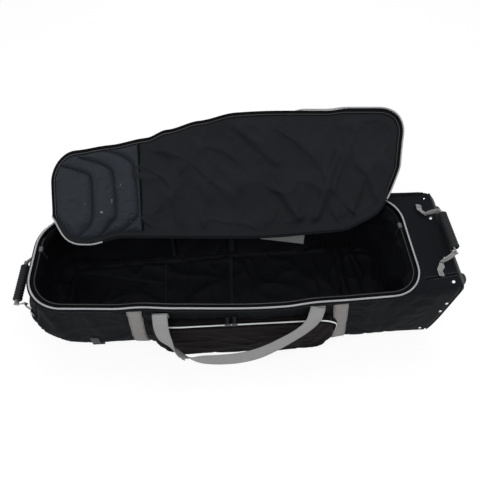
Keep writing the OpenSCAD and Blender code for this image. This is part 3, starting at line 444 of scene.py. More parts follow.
def webbing_material(name, colour, rib=0.0016, dirt=0.25):
    """Woven strap: raised ribs along it, slanting threads on each rib, and cloudy soiling."""
    material, shader = nodes_of(name, colour, 0.7, sheen=0.1, specular=0.2)
    net = Net(material)
    place = net.add("ShaderNodeTexCoord")
    uv, obj = place.outputs["UV"], place.outputs["Object"]
    split = net.add("ShaderNodeSeparateXYZ", {"Vector": uv})
    across, along = split.outputs[0], split.outputs[1]
    ribs = net.maths("SINE", net.maths("MULTIPLY", across, 2 * math.pi / (2 * rib)))
    slant = net.maths("ADD", net.maths("MULTIPLY", along, 2 * math.pi / 0.0022),
                      net.maths("MULTIPLY", ribs, 1.6))
    threads = net.maths("SINE", slant)
    height = net.maths("ADD", net.maths("MULTIPLY", net.maths("ABSOLUTE", ribs), 0.6),
                       net.maths("MULTIPLY", threads, 0.3))
    cloudy = net.noise(obj, 16.0, 4.0, 0.65)
    tint = net.mix(net.maths("MULTIPLY", cloudy, 2 * dirt), shade(colour, 1.08), shade(colour, 0.62))
    # Painted shade: the grooves between the slanting threads, low in the bump's height, are darkened towards
    # 0.55 times the colour.
    tint = net.mix(net.maths("MULTIPLY_ADD", threads, -0.14, 0.14), tint, shade(colour, 0.55))
    net.put(shader.inputs["Base Color"], tint)
    net.put(shader.inputs["Roughness"], net.maths("MULTIPLY_ADD", cloudy, 0.2, 0.62))
    net.put(shader.inputs["Normal"], net.bump(height, 0.7, 0.0006, net.bump(cloudy, 0.3, 0.002)))
    return material


def moulded_material(name, colour, rough=0.5, grain=420.0, specular=0.5, metallic=0.0, wear=0.35):
    """Moulded plastic, rubber or metal: fine grain, uneven gloss and paler worn edges."""
    material, shader = nodes_of(name, colour, rough, metallic=metallic, specular=specular)
    net = Net(material)
    obj = net.add("ShaderNodeTexCoord").outputs["Object"]
    cloudy = net.noise(obj, 14.0, 5.0, 0.6)
    fine = net.noise(obj, grain, 3.0)
    edges = net.ramp(net.add("ShaderNodeNewGeometry").outputs["Pointiness"],
                     [(0.50, (0, 0, 0)), (0.56, (1, 1, 1))])
    tint = net.mix(cloudy, shade(colour, 0.75), shade(colour, 1.35))
    tint = net.mix(net.maths("MULTIPLY", edges, wear), tint, shade(colour, 3.0))
    net.put(shader.inputs["Base Color"], tint)
    net.put(shader.inputs["Roughness"], net.maths("MULTIPLY_ADD", cloudy, 0.24, rough - 0.1))
    net.put(shader.inputs["Normal"], net.bump(fine, 0.35, 0.0004))
    return material


def linear(r, g, b):
    """Scene colour of a screen colour from 0 to 255."""
    def one(v):
        v /= 255
        return v / 12.92 if v <= 0.04045 else ((v + 0.055) / 1.055) ** 2.4
    return one(r), one(g), one(b)


BODY = cloth_material("body_nylon", linear(20, 22, 25), rough=0.62, sheen=0.006, specular=0.03)
POCKET = cloth_material("pocket_nylon", linear(22, 19, 19), rough=0.6, sheen=0.006, specular=0.04)
LINING = cloth_material("lining_nylon", linear(18, 19, 22), thread=0.0006, rough=0.5, sheen=0.004,
                        specular=0.04)
LID_LINING = cloth_material("lid_lining_nylon", linear(25, 27, 30), thread=0.0006, rough=0.46, sheen=0.008,
                            specular=0.05)
QUILT = cloth_material("quilt_cloth", linear(33, 37, 43), thread=0.0007, rough=0.45, sheen=0.01, scuffs=0.55,
                       specular=0.10)
PATCH = cloth_material("patch_cloth", linear(150, 152, 152), thread=0.0012, rough=0.8, sheen=0.2)
TAPE = cloth_material("zipper_tape", linear(12, 12, 14), thread=0.0007, rough=0.8, sheen=0.005, specular=0.03)
MESH = cloth_material("pull_tape", linear(27, 29, 32), thread=0.0009, rough=0.8, sheen=0.01, specular=0.04)
WEBBING = webbing_material("grey_webbing", linear(150, 150, 150))
DARK_WEBBING = webbing_material("dark_webbing", linear(66, 66, 68))
BAND = webbing_material("band_webbing", linear(137, 134, 131))
THREAD = moulded_material("thread", linear(60, 62, 66), rough=0.7, wear=0.0)
# Quilting thread drawn near-black: besides the stitches, it paints the shade in the quilted grooves.
GROOVE_SHADE_THREAD = moulded_material("dark_thread", linear(15, 16, 18), rough=0.75, wear=0.0, specular=0.1)
PIPING = moulded_material("piping_vinyl", linear(154, 156, 159), rough=0.45, grain=300, wear=0.0,
                          specular=0.3)
COIL = moulded_material("dark_coil", linear(26, 26, 29), rough=0.45, wear=0.0)
WHITE_COIL = moulded_material("white_coil", linear(214, 215, 216), rough=0.4, wear=0.0)
PLASTIC = moulded_material("moulded_plastic", linear(22, 23, 25), rough=0.5, wear=0.1, specular=0.25)
RUBBER = moulded_material("grip_rubber", linear(20, 21, 23), rough=0.6, grain=700, wear=0.1, specular=0.2)
TYRE = moulded_material("tyre_rubber", linear(28, 28, 29), rough=0.72, grain=500, wear=0.15, specular=0.2)
HUB = moulded_material("hub_plastic", linear(86, 88, 92), rough=0.42, wear=0.2)
STEEL = moulded_material("steel", linear(196, 197, 200), rough=0.32, metallic=1.0, grain=900, wear=0.0)
SLIDER = moulded_material("slider_metal", linear(58, 59, 62), rough=0.45, grain=900, wear=0.3, specular=0.4)

CAD_FINISH = {
    "base_board": PLASTIC, "skid_rails": PLASTIC, "end_cap": PLASTIC, "wheel_housing_front": PLASTIC,
    "wheel_housing_back": PLASTIC, "stand_feet": PLASTIC, "rivets": STEEL, "axle_front": STEEL,
    "axle_back": STEEL, "tyre_front": TYRE, "tyre_back": TYRE, "hub_front": HUB, "hub_back": HUB,
    "bearings_front": STEEL, "bearings_back": STEEL, "lash_buckle": PLASTIC, "left_grip": RUBBER,
    "wheel_grip": RUBBER, "main_slider_left": SLIDER, "main_slider_right": SLIDER,
    "pocket_slider_left": SLIDER, "pocket_slider_right": SLIDER,
}
for node, material in CAD_FINISH.items():
    data = frame["nodes"][node].data
    for k in range(len(data.materials)):
        data.materials[k] = material


def finish(obj, material, body, slot, *replaced):
    """Gives a piece its material and its body, and hides the nodes that it replaces; the slot is not used."""
    obj.data.materials.clear()
    obj.data.materials.append(material)
    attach(obj, body)
    if replaced:
        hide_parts(*replaced)
    return obj


# ---- Cloth simulation ----

def simulate(grid, hold, frames=20, grow=0.0, pressure=0.0, gravity=0.0, stiff=15.0, bend=0.5, cap=0.01,
             closed=False):
    """Runs Blender's cloth on the grid and returns where its points come to rest.

    hold is how firmly each point is pinned, from 0 to 1; grow stretches the cloth's own size so that it
    buckles between its seams; no point moves further than cap.
    """
    rows, cols = grid.shape[:2]
    sheet = mesh_object("cloth_run", grid.reshape(-1, 3), grid_quads(rows, cols, closed))
    group = sheet.vertex_groups.new(name="pin")
    flat = np.asarray(hold).ravel()
    for index, weight in enumerate(flat):
        if weight > 0:
            group.add([index], float(weight), "REPLACE")
    cloth = sheet.modifiers.new("cloth", "CLOTH")
    s = cloth.settings
    s.quality = 6
    s.mass = 0.2
    s.tension_stiffness = s.compression_stiffness = stiff
    s.shear_stiffness = stiff / 3
    s.bending_stiffness = bend
    s.air_damping = 2.0
    s.vertex_group_mass = "pin"
    s.pin_stiffness = 5.0
    s.shrink_min = -grow
    s.use_pressure = pressure != 0
    s.uniform_pressure_force = pressure
    s.effector_weights.gravity = gravity
    cloth.collision_settings.use_collision = False
    cloth.point_cache.frame_start, cloth.point_cache.frame_end = 1, frames
    scene = bpy.context.scene
    for f in range(1, frames + 1):
        scene.frame_set(f)
    shown = sheet.evaluated_get(bpy.context.evaluated_depsgraph_get())
    co = np.zeros(rows * cols * 3)
    shown.data.vertices.foreach_get("co", co)
    moved = co.reshape(rows, cols, 3) - grid
    bpy.data.objects.remove(sheet, do_unlink=True)
    scene.frame_set(1)
    far = np.linalg.norm(moved, axis=-1, keepdims=True)
    moved = moved * np.where(far > 1e-9, cap * np.tanh(far / cap) / np.maximum(far, 1e-9), 0)
    return grid + moved


# ---- The body's shell ----

def outline(corners, straights):
    """Closed outline through corners (x, y, radius, points); straights counts the points between them."""
    out = []
    n = len(corners)
    ends = []
    for k in range(n):
        a, b, c = (np.array(corners[(k + d) % n][:2]) for d in (-1, 0, 1))
        r, count = corners[k][2:]
        u, v = unit(a - b), unit(c - b)
        if count == 1:
            ends.append(np.array([b]))
            continue
        half = math.acos(float(np.clip(u @ v, -1, 1))) / 2
        o = b + unit(u + v) * r / math.sin(half)
        p, q = b + u * r / math.tan(half) - o, b + v * r / math.tan(half) - o
        start, end = math.atan2(p[1], p[0]), math.atan2(q[1], q[0])
        sweep_by = (end - start + math.pi) % (2 * math.pi) - math.pi
        t = start + sweep_by * np.linspace(0, 1, count)
        ends.append(np.stack([o[0] + r * np.cos(t), o[1] + r * np.sin(t)], -1))
    for k in range(n):
        out.append(ends[k])
        p, q = ends[k][-1], ends[(k + 1) % n][0]
        t = (np.arange(straights[k]) + 1)[:, None] / (straights[k] + 1)
        out.append(lerp(p, q, t))
    return np.concatenate(out)


CORNER, BELLY = 24, 14
SIDES = (22, 44, 96, 20, 96, 44, 22, 30)   # points on the straights: cap side, middle, left, left end, ...
# Columns of the closed outline, in the order of its corners
FRONT_RIGHT = CORNER * 3 + BELLY * 2 + 2 + sum(SIDES[:7])
BACK_RIGHT = CORNER - 1
SEAM_BACK = CORNER + SIDES[0] + 1 + SIDES[1] + BELLY + SIDES[2] + CORNER // 2
SEAM_FRONT = SEAM_BACK + CORNER - CORNER // 2 + SIDES[3] + CORNER // 2
COLUMNS = CORNER * 4 + BELLY * 2 + 2 + sum(SIDES)


def bag_ring(end_x, end_y, end_z, end_r, belly_y, start_x, start_y, start_r, z):
    """Closed ring around the bag: level at z, rising from the shoulder to end_z at the wheel end."""
    shoulder_y = lerp(belly_y, end_y, (SHOULDER_X - BELLY_X) / (end_x - BELLY_X))
    corners = [(end_x, end_y, end_r, CORNER), (SHOULDER_X, shoulder_y, 0, 1),
               (BELLY_X, belly_y, BELLY_R, BELLY),
               (start_x, start_y, start_r, CORNER), (start_x, -start_y, start_r, CORNER),
               (BELLY_X, -belly_y, BELLY_R, BELLY), (SHOULDER_X, -shoulder_y, 0, 1),
               (end_x, -end_y, end_r, CORNER)]
    flat = outline(corners, SIDES)
    rise = ease((flat[:, 0] - SHOULDER_X) / (end_x - end_r - SHOULDER_X)) * 0.5 \
        + 0.5 * np.clip((flat[:, 0] - SHOULDER_X) / (end_x - end_r - SHOULDER_X), 0, 1)
    return np.column_stack([flat, lerp(z, end_z, rise)])


def tuck(f):
    return TUCK * (1 - f) ** 7


def side_out(f):
    return SIDE_BULGE * math.sin(math.pi * f) - tuck(f)


def wall_ring(f, g=0.0):
    """The wall's ring at the height share f, offset outwards by g."""
    lift = (2 * f - 1) * g
    z = lerp(FLOOR_Z, WALL_TOP, f) + lift
    left_out = LEFT_BULGE * math.sin(math.pi * f ** 0.75) - tuck(f)
    end_z = lerp(FLOOR_Z, DECK_TOP, min(1, f / DECK_SHARE)) + lift
    end_y = RIGHT_HALF + 0.004 - TUCK_RIGHT * (1 - f) ** 7 - 0.006 * float(ease((f - 0.88) / 0.07))
    return bag_ring(CAP_X - 0.0003, end_y + g, end_z, 0.006, RIM_HALF + side_out(f) + g,
                    LEFT_X - left_out - g, LEFT_HALF + side_out(f) + g, LEFT_R + side_out(f) + g, z)


def rim_ring(g, z):
    """The opening's ring, offset outwards by g."""
    return bag_ring(DECK_X + g, RIGHT_HALF + g, z, RIGHT_R + g, RIM_HALF + g, LEFT_X - g, LEFT_HALF + g,
                    LEFT_R + g, z)


# How the soft rim waves between its supports: (x, rise) along the front and along the back
FRONT_WAVE = [(-0.56, 0.0), (-0.40, -0.004), (-0.31, -0.006), (-0.24, 0.003), (-0.16, -0.003),
              (-0.02, -0.005), (0.12, -0.004), (0.20, 0.005), (0.30, 0.001), (0.40, 0.0), (0.60, 0.0)]
BACK_WAVE = [(-0.56, 0.0), (-0.35, -0.005), (-0.10, 0.003), (0.12, -0.006), (0.30, 0.0), (0.41, 0.010),
             (0.60, 0.0)]


def rim_wave(points):
    """Rise of the rim at each point, fading out across the two ends."""
    front = ease((-points[..., 1] - 0.05) / 0.09)
    back = ease((points[..., 1] - 0.05) / 0.09)
    return front * profile(points[..., 0], FRONT_WAVE) + back * profile(points[..., 0], BACK_WAVE)


def with_wave(grid):
    """The grid with its upper part following the rim's waves."""
    out = grid.copy()
    share = ease((grid[..., 2] - 0.10) / (WALL_TOP - 0.10))
    out[..., 2] += share * rim_wave(grid)
    return out


def build_shell():
    """Rows of the shell from the floor to the rim, around the whole bag."""
    shares = np.concatenate([np.linspace(0, 0.9, 34), [0.915, 0.93, 0.94]])
    rows = [wall_ring(f) for f in shares]
    edge, rim = wall_ring(DECK_SHARE), rim_ring(0.0005, WALL_TOP)
    ledge = rim_ring(0.008, WALL_TOP + 0.0008)
    for t in np.linspace(0, 1, 16)[:-1]:
        row = lerp(edge, ledge, t)
        crown = 0.002 * math.sin(math.pi * t) * ease((t - 0.4) / 0.3)
        row[:, 2] += crown * ease((row[:, 0] - SHOULDER_X) / 0.1)
        rows.append(row)
    rows += [ledge, lerp(ledge, rim, 0.5), rim]
    grid = np.array(rows)
    grid = smooth(grid, 6, closed=True)
    grid[-1] = rim
    return with_wave(grid)


shell = build_shell()
DECK_ROW = 37   # first row of the shell that lies on the deck


# ---- Soft walls ----

SEAMS = (SEAM_BACK, SEAM_FRONT)
BAND_X = (middle("left_band")[0], middle("right_band")[0])
WEB_W = 0.038
WEB_T = 0.0024


def groove(grid, columns, width):
    """1 on the given columns of the closed outline, fading over width columns."""
    k = np.arange(grid.shape[1])
    far = np.min([np.abs((k - c + COLUMNS // 2) % COLUMNS - COLUMNS // 2) for c in columns], axis=0)
    return np.exp(-(far / width) ** 2)[None, :]


def soften(grid):
    """Sags, creases and pulled-in seams of the empty bag's walls."""
    n = normals(grid, closed=True)
    x, z = grid[..., 0], grid[..., 2]
    share = np.clip((z - FLOOR_Z) / (WALL_TOP - FLOOR_Z), 0, 1)
    free = ease(share / 0.12) * ease((1 - share) / 0.10) * ease((CAP_X - 0.055 - x) / 0.06)
    free[DECK_ROW:] *= 0.15
    sag = 0.0045 * noise_at(grid, (3.2, 3.2, 9), 3.1) + 0.0030 * noise_at(grid, (9, 9, 26), 8.4)
    lying = ridges(grid, (4.5, 4.5, 21), 5.7, 3) * 0.0035
    near_corner = ease((-x - 0.36) / 0.12)
    slant = np.array([[0.8, 0, 0.6], [0, 1, 0], [-0.6, 0, 0.8]]).T
    slanting = ridges(grid @ slant, (10, 10, 24), 1.3, 3) * 0.004
    upright = ridges(grid, (30, 30, 6), 12.1, 3) * 0.003 * ease((x - 0.33) / 0.08)
    out = sag + lying + slanting * near_corner - upright
    for band in BAND_X:
        out = out - 0.0025 * bump(x, band, 0.016)
    out = out * free - 0.003 * groove(grid, SEAMS, 0.9) * ease(share / 0.1)
    return grid + n * out[..., None]


def wall_hold(grid):
    """How firmly the shell is held: at the floor, the rim, the end cap, the seams and the straps."""
    hold = np.full(grid.shape[:2], 0.02)
    x = grid[..., 0]
    hold[:2] = 1
    hold[DECK_ROW:] = 1
    hold = np.maximum(hold, 0.8 * groove(grid, SEAMS, 1.5))
    for band in BAND_X:
        hold = np.maximum(hold, 0.5 * bump(x, band, 0.02))
    hold[x > CAP_X - 0.05] = 1
    return hold


shell = soften(shell)
shell = simulate(shell, wall_hold(shell), frames=14, grow=0.022, pressure=0.4, gravity=0.4, stiff=20,
                 bend=2.0, cap=0.007, closed=True)


def columns_of(grid, first, last):
    """Columns first to last of a closed grid, also where they run past its end."""
    return np.take(grid, np.arange(first, last + 1) % COLUMNS, axis=1)


for name, node, first, last, from_row in (
        ("front_wall", "front_panel", SEAM_FRONT, FRONT_RIGHT, 0),
        ("back_wall", "back_panel", BACK_RIGHT, SEAM_BACK, 0),
        ("left_end", "left_end_panel", SEAM_BACK, SEAM_FRONT, 0),
        ("deck", "deck_panel", FRONT_RIGHT, COLUMNS + BACK_RIGHT, DECK_ROW - 1)):
    finish(skin(name, columns_of(shell, first, last)[from_row:], CLOTH_T), BODY, "bag", "body_cloth", node)


def wall_at(x, z, side):
    """Points of the side wall (-1 front, 1 back) at the places x and heights z."""
    x, z = np.atleast_1d(np.asarray(x, float)), np.atleast_1d(np.asarray(z, float))
    part = columns_of(shell, SEAM_FRONT - 10, FRONT_RIGHT + 20) if side < 0 else \
        columns_of(shell, BACK_RIGHT - 20, SEAM_BACK + 10)[:, ::-1]
    part = part[:DECK_ROW + 16]
    rows_y = np.array([np.interp(x, row[:, 0], row[:, 1]) for row in part])
    rows_z = np.array([np.interp(x, row[:, 0], row[:, 2]) for row in part])
    y = np.array([np.interp(z[i], rows_z[:, i], rows_y[:, i]) for i in range(len(x))])
    return np.column_stack([x, y, z])


def wall_edges(x, z, side, width):
    """Points of the side wall half a width to the right and to the left of x."""
    return wall_at(x + width / 2, z, side), wall_at(x - width / 2, z, side)


def facing(path, right, left, side):
    """Unit directions out of the side wall along a path between a strap's right and left edge."""
    out = unit(np.cross(right - left, np.gradient(path, axis=0)))
    return out * np.sign(out[:, 1:2] * side)


def patch(left, right, front, back, rows, cols):
    """Sheet between four edges: front and back run left to right, left and right run front to back."""
    def even(path, count):
        far = np.concatenate([[0], np.cumsum(np.linalg.norm(np.diff(path, axis=0), axis=-1))])
        s = np.linspace(0, far[-1], count)
        return np.stack([np.interp(s, far, path[:, k]) for k in range(3)], -1)
    f, b = even(front, cols)[None], even(back, cols)[None]
    le, ri = even(left, rows)[:, None], even(right, rows)[:, None]
    u, v = np.linspace(0, 1, cols)[None, :, None], np.linspace(0, 1, rows)[:, None, None]
    corners = ((1 - u) * (1 - v) * f[:, :1] + u * (1 - v) * f[:, -1:]
               + (1 - u) * v * b[:, :1] + u * v * b[:, -1:])
    return (1 - v) * f + v * b + (1 - u) * le + u * ri - corners


def ring_patch(ring, rows, cols):
    """Sheet filling a closed ring with the shell's columns."""
    mid = CORNER // 2
    at = lambda a, b: np.take(ring, np.arange(a, b + 1) % COLUMNS, axis=0)
    front = at(SEAM_FRONT, FRONT_RIGHT + mid)
    back = at(COLUMNS + mid, COLUMNS + SEAM_BACK)[::-1]
    left = at(SEAM_BACK, SEAM_FRONT)[::-1]
    right = at(FRONT_RIGHT + mid, COLUMNS + mid)
    return patch(left, right, front, back, rows, cols)


def distance(grid, line, axes=(0, 1)):
    """Distance of each grid point from the nearest point of a line, in plan or in another pair of axes."""
    a, b = axes
    out = np.full(grid.shape[:2], 1.0)
    for q in line:
        out = np.minimum(out, np.hypot(grid[..., a] - q[a], grid[..., b] - q[b]))
    return out


# Bottom
under = ring_patch(wall_ring(0, -0.0035), 24, 90)
under[..., 0] = np.minimum(under[..., 0], high("bottom_panel")[0])
under = under[:, ::-1].copy()
under[..., 2] = FLOOR_Z
finish(skin("bottom_cloth", under, CLOTH_T), BODY, "bag", "body_cloth", "bottom_panel")


# ---- Inside ----

LINING_T = 0.0012
LINING_IN = CLOTH_T + 0.0005 + LINING_T
SEWN_ON = 0.0145   # how far in front of the lined wall the pieces sewn to it lie
SLANT = np.array([[0.7, 0, 0.7], [0, 1, 0], [-0.7, 0, 0.7]]).T


def side_half(x, f):
    """Half width of the walls at the place x towards the wheel end, at the height share f."""
    end_y = RIGHT_HALF + 0.004 - TUCK_RIGHT * (1 - f) ** 7 - (0.006 if f >= DECK_SHARE else 0)
    return lerp(RIM_HALF + side_out(f), end_y, (x - BELLY_X) / (CAP_X - 0.0003 - BELLY_X))


def lining_ring(f, g):
    """The lining's ring at the height share f, offset outwards by g."""
    z = lerp(FLOOR_Z, WALL_TOP, f) + (2 * f - 1) * g
    left_out = LEFT_BULGE * math.sin(math.pi * f ** 0.75) - tuck(f)
    beside = side_half(DECK_X, f) - 0.0005
    return bag_ring(DECK_X + g, min(RIGHT_HALF, beside) + g, z, RIGHT_R + g, RIM_HALF + side_out(f) + g,
                    LEFT_X - left_out - g, LEFT_HALF + side_out(f) + g, LEFT_R + side_out(f) + g, z)


def inward(grid):
    """Unit directions from the lining's wall towards the bag's inside."""
    return -normals(grid, closed=True)


lining_rows = np.array([lining_ring(f, -LINING_IN - 0.004) for f in np.linspace(0, 1, 40)])
lining_rows = with_wave(smooth(lining_rows, 3, closed=True))
share = (lining_rows[..., 2] - FLOOR_Z) / (WALL_TOP - FLOOR_Z)
hang = ease(share / 0.05) * ease((0.985 - share) / 0.12)
lx = lining_rows[..., 0]
lining_push = (0.0035 * noise_at(lining_rows, (6, 6, 8), 2.2)
               + 0.008 * ridges(lining_rows, (9, 9, 5), 4.4, 3)
               + 0.006 * ridges(lining_rows @ SLANT, (7, 7, 15), 9.1, 3)
               + 0.005 * ridges(lining_rows, (26, 26, 4), 7.7, 2.5) * ease((lx - 0.15) / 0.1))
lining_rows[-1, :, 2] += high("lining")[2] - lining_rows[-1, 0, 2]
walls = lining_rows + inward(lining_rows) * (lining_push * hang)[..., None]
walls[..., 2] = np.minimum(walls[..., 2], lining_rows[-1, :, 2][None])
finish(skin("lining_wall", walls[:, ::-1], LINING_T, closed=True), LINING, "bag", "lining_cloth", "lining")

floor_top = high("base_board")[2] + 0.0012
floor_ring = lining_ring(0.03, -LINING_IN - 0.006)
base = ring_patch(floor_ring, 60, 200)
rim_far = distance(base, floor_ring[::2])
folds = (0.007 * ridges(base * [1, 1, 0], (6, 10, 1), 3.3, 4)
         + 0.006 * ridges(base * [1, 1, 0], (15, 9, 1), 6.1, 4)
         + 0.002 * noise_at(base * [1, 1, 0], (8, 8, 1), 1.1) + 0.003
         + 0.008 * ridges(base * [1, 1, 0], (24, 3, 1), 7.7, 2.5) * ease((base[..., 0] - 0.27) / 0.05))
base[..., 2] = floor_top + folds * ease(rim_far / 0.02) + 0.012 * (1 - ease(rim_far / 0.016))
finish(skin("lining_floor", base, LINING_T), LINING, "bag", "lining_cloth")


def inner_wall(x, z):
    """Points of the lined back wall at the places x and heights z, before its folds."""
    x, z = np.asarray(x, float), np.asarray(z, float)
    part = lining_rows[:, BACK_RIGHT:SEAM_BACK][:, ::-1]
    rows_y = np.array([np.interp(x.ravel(), row[:, 0], row[:, 1]) for row in part])
    zs = part[:, part.shape[1] // 2, 2]
    y = np.array([np.interp(v, zs, rows_y[:, i]) for i, v in enumerate(z.ravel())])
    return np.stack([x, y.reshape(x.shape), z], -1)


def inner_pocket(node, depth, gathers):
    """Open pocket on the lined back wall, bellied out by depth and gathered so many times along its hem."""
    (x0, _, z0), (x1, _, z1) = low(node), high(node)
    grid = inner_wall(*np.meshgrid(np.linspace(x0, x1, 90), np.linspace(z0, z1, 50)))
    u = (grid[..., 0] - x0) / (x1 - x0)
    v = (grid[..., 2] - z0) / (z1 - z0)
    hold = np.sin(math.pi * np.clip(u, 0, 1)) ** 0.4 * ease(v / 0.15)
    push = 0.0125 + depth * hold * (0.45 + 0.55 * v) + 0.0035 * noise_at(grid, (9, 9, 9), 2.7) * hold
    push += 0.004 * ridges(grid, (22, 5, 6), 5.1, 3) * hold
    if gathers:
        push += 0.0035 * np.sin(u * gathers * math.pi * 2 + 1.3 * noise_at(grid, (5, 5, 9), 4)) * hold
    grid[..., 1] -= push
    finish(skin(f"{node}_cloth", grid, LINING_T), LINING, "bag", "lining_cloth", node)
    for k, (row, width, thick) in enumerate(((49, 0.009, 0.0032), (42, 0.0016, 0.0014))):
        hem = sweep(f"{node}_cloth_hem_{k}", grid[row] + [0, -LINING_T, 0], (0, -1, 0),
                    flat_section(width, thick))
        finish(hem, MESH, "bag", "lining_cloth")
    return grid


left_pocket = inner_pocket("inner_pocket_left", 0.022, 0)
inner_pocket("inner_pocket_right", 0.014, 9)
binding = sweep("inner_pocket_binding", left_pocket[:, -1] + [0.001, -0.0015, 0], (0, -1, 0),
                flat_section(0.009, 0.002))
finish(binding, MESH, "bag", "lining_cloth")

divider_z = np.linspace(low("divider_strap")[2], high("divider_strap")[2], 24)
divider_path = inner_wall(np.full(24, middle("divider_strap")[0]), divider_z) - [0, SEWN_ON, 0]
divider = sweep("divider_webbing", divider_path, (0, -1, 0), flat_section(0.018, 0.0016))
finish(divider, MESH, "bag", "moulded_plastic", "divider_strap")

across, upward = np.meshgrid(np.linspace(0, 1, 50), np.linspace(0, 1, 36))
patch_foot = lerp(FLOOR_Z + 0.081, FLOOR_Z + 0.055, across)
patch_grid = inner_wall(lerp(low("wall_patch")[0], high("wall_patch")[0], across),
                        lerp(patch_foot, high("wall_patch")[2], upward))
patch_grid[..., 1] -= SEWN_ON + 0.0015 * noise_at(patch_grid, (12, 12, 12), 1.9)
finish(skin("wall_patch_cloth", patch_grid, LINING_T), PATCH, "bag", "patch_cloth", "wall_patch")

# Bindings that run on from the wall over the floor's lining
floor_points = base.reshape(-1, 3)
for name, width, ends in (
        ("floor_hem", 0.008, [(-0.540, 0.100), (-0.42, 0.084), (-0.30, 0.056), (-0.222, 0.040)]),
        ("floor_edge", 0.007, [(-0.219, 0.124), (-0.217, 0.06), (-0.214, -0.03)]),
        ("floor_divider", 0.012, [(-0.007, 0.126), (-0.012, -0.055)])):
    ends = np.array(ends)
    share = np.linspace(0, 1, 60)
    x, y = (np.interp(share, np.linspace(0, 1, len(ends)), ends[:, k]) for k in (0, 1))
    near = [int(np.argmin((floor_points[:, 0] - a) ** 2 + (floor_points[:, 1] - b) ** 2))
            for a, b in zip(x, y)]
    z = np.convolve(np.pad(floor_points[near, 2], 3, mode="edge"), np.ones(7) / 7, "valid") + 0.0016
    strip = sweep(name, np.column_stack([x, y, z]), (0, 0, 1), flat_section(width, 0.0016))
    finish(strip, MESH, "bag", "lining_cloth")


# ---- Rim ----

def lay(path, wave=True):
    """The path, following the rim's waves if wave is set."""
    path = np.array(path)
    if wave:
        path[:, 2] += rim_wave(path)
    return path


rim_line = resample(lay(rim_ring(0, RIM_Z)), 0.006, closed=True)
rim_piping = sweep("rim_piping_cord", rim_line, (0, 0, 1), round_section(PIPING_R * 0.8, 14), closed=True)
finish(rim_piping, PIPING, "bag", "piping", "rim_piping")

TOOTH_FROM = SEAM_BACK + 6   # the zipper runs from this column round the front to the wheel end
TAPE_TOP = high("rim_zipper_tape")[2]
TAPE_W = 0.013
TAPE_T = 0.0008
ZIP_PITCH = 0.0021
STITCH_LIFT = 0.0002   # how far stitches stand off the cloth
COIL_W, COIL_H = 0.003, 0.0015


def hoop_part(g, z, wave):
    """The rim's line at offset g and height z, along the zipper's run."""
    ring = lay(rim_ring(g, z), wave)
    return np.take(ring, np.arange(TOOTH_FROM, COLUMNS + 1) % COLUMNS, axis=0)


tape_rows = [hoop_part(-PIPING_R - 0.0003 - t * (TAPE_W - 0.0003), TAPE_TOP - 0.0012 * math.sin(math.pi * t),
                       True)
             for t in np.linspace(0, 1, 6)]
finish(skin("rim_zip_tape", np.array(tape_rows), TAPE_T), TAPE, "bag", "zipper_tape", "rim_zipper_tape")


def teeth(name, path, ups, pitch, size, material, body, slot, node=None):
    """Zipper coil: a turn of monofilament every pitch along the path."""
    places = resample(path, pitch)
    far = np.linspace(0, 1, len(path))
    up = unit(np.stack([np.interp(np.linspace(0, 1, len(places)), far, np.broadcast_to(ups, path.shape)[:, k])
                        for k in range(3)], -1))
    obj = many(name, places, unit(np.gradient(places, axis=0)), up, size, 0.5)
    finish(obj, material, body, slot, *([node] if node else []))
    return obj


coil_path = hoop_part(-TAPE_W, TAPE_TOP + COIL_H / 2 + 0.0001, True)
teeth("rim_zip_coil", coil_path, (0, 0, 1), ZIP_PITCH, (0.0012, COIL_W, COIL_H), COIL, "bag", "dark_coil",
      "rim_zipper_coil")
core = sweep("rim_zip_core", resample(coil_path, 0.006), (0, 0, 1), round_section(0.0005, 6))
finish(core, COIL, "bag", "dark_coil")


def stitches(name, path, ups, material, body, slot, pitch=0.0042, size=(0.0028, 0.0007, 0.0005)):
    """A row of stitches lying on the cloth along the path."""
    return teeth(name, np.asarray(path), ups, pitch, size, material, body, slot)


# Stitching under the rim, on the outside of the walls
for k, (a, b) in enumerate(((SEAM_FRONT, FRONT_RIGHT), (BACK_RIGHT, SEAM_BACK), (SEAM_BACK, SEAM_FRONT))):
    row = columns_of(shell, a, b)
    line = row[DECK_ROW + 9]
    up = normals(row)[DECK_ROW + 9]
    stitches(f"rim_stitches_{k}", line + up * STITCH_LIFT, up, THREAD, "bag", "body_cloth")
# Seam of the left end's corners
for k, c in enumerate(SEAMS):
    for d in (-1.4, 1.4):
        step = int(np.sign(d))
        col = lerp(shell[:, c + step], shell[:, c + 2 * step], abs(d) - 1)[3:DECK_ROW + 6]
        up = unit(normals(shell, True)[3:DECK_ROW + 6, c])
        stitches(f"corner_stitches_{k}_{int(d > 0)}", col + up * STITCH_LIFT, up, THREAD, "bag", "body_cloth")


# ---- Lid, shaped closed and thrown open ----

LID_OPEN = math.radians(180) - LID_LEAN
# Where the outer side of the open lid faces
LID_UP = np.array([0, math.sin(LID_OPEN), math.cos(LID_OPEN)])
LID_DOWN = -LID_UP
SKIN_IN = LID_IN + PIPING_R + 0.0003
DOME_H = 0.016
LID_TAPE_Z = TAPE_TOP + COIL_H + 0.0025 + COIL_H
LID_LINING_Z = LID_TAPE_Z + 0.001 + 0.0003
LID_SKIN_Z = LID_LINING_Z + LINING_T + 0.0003
LID_PIPING_Z = LID_LINING_Z + PIPING_R - LINING_T
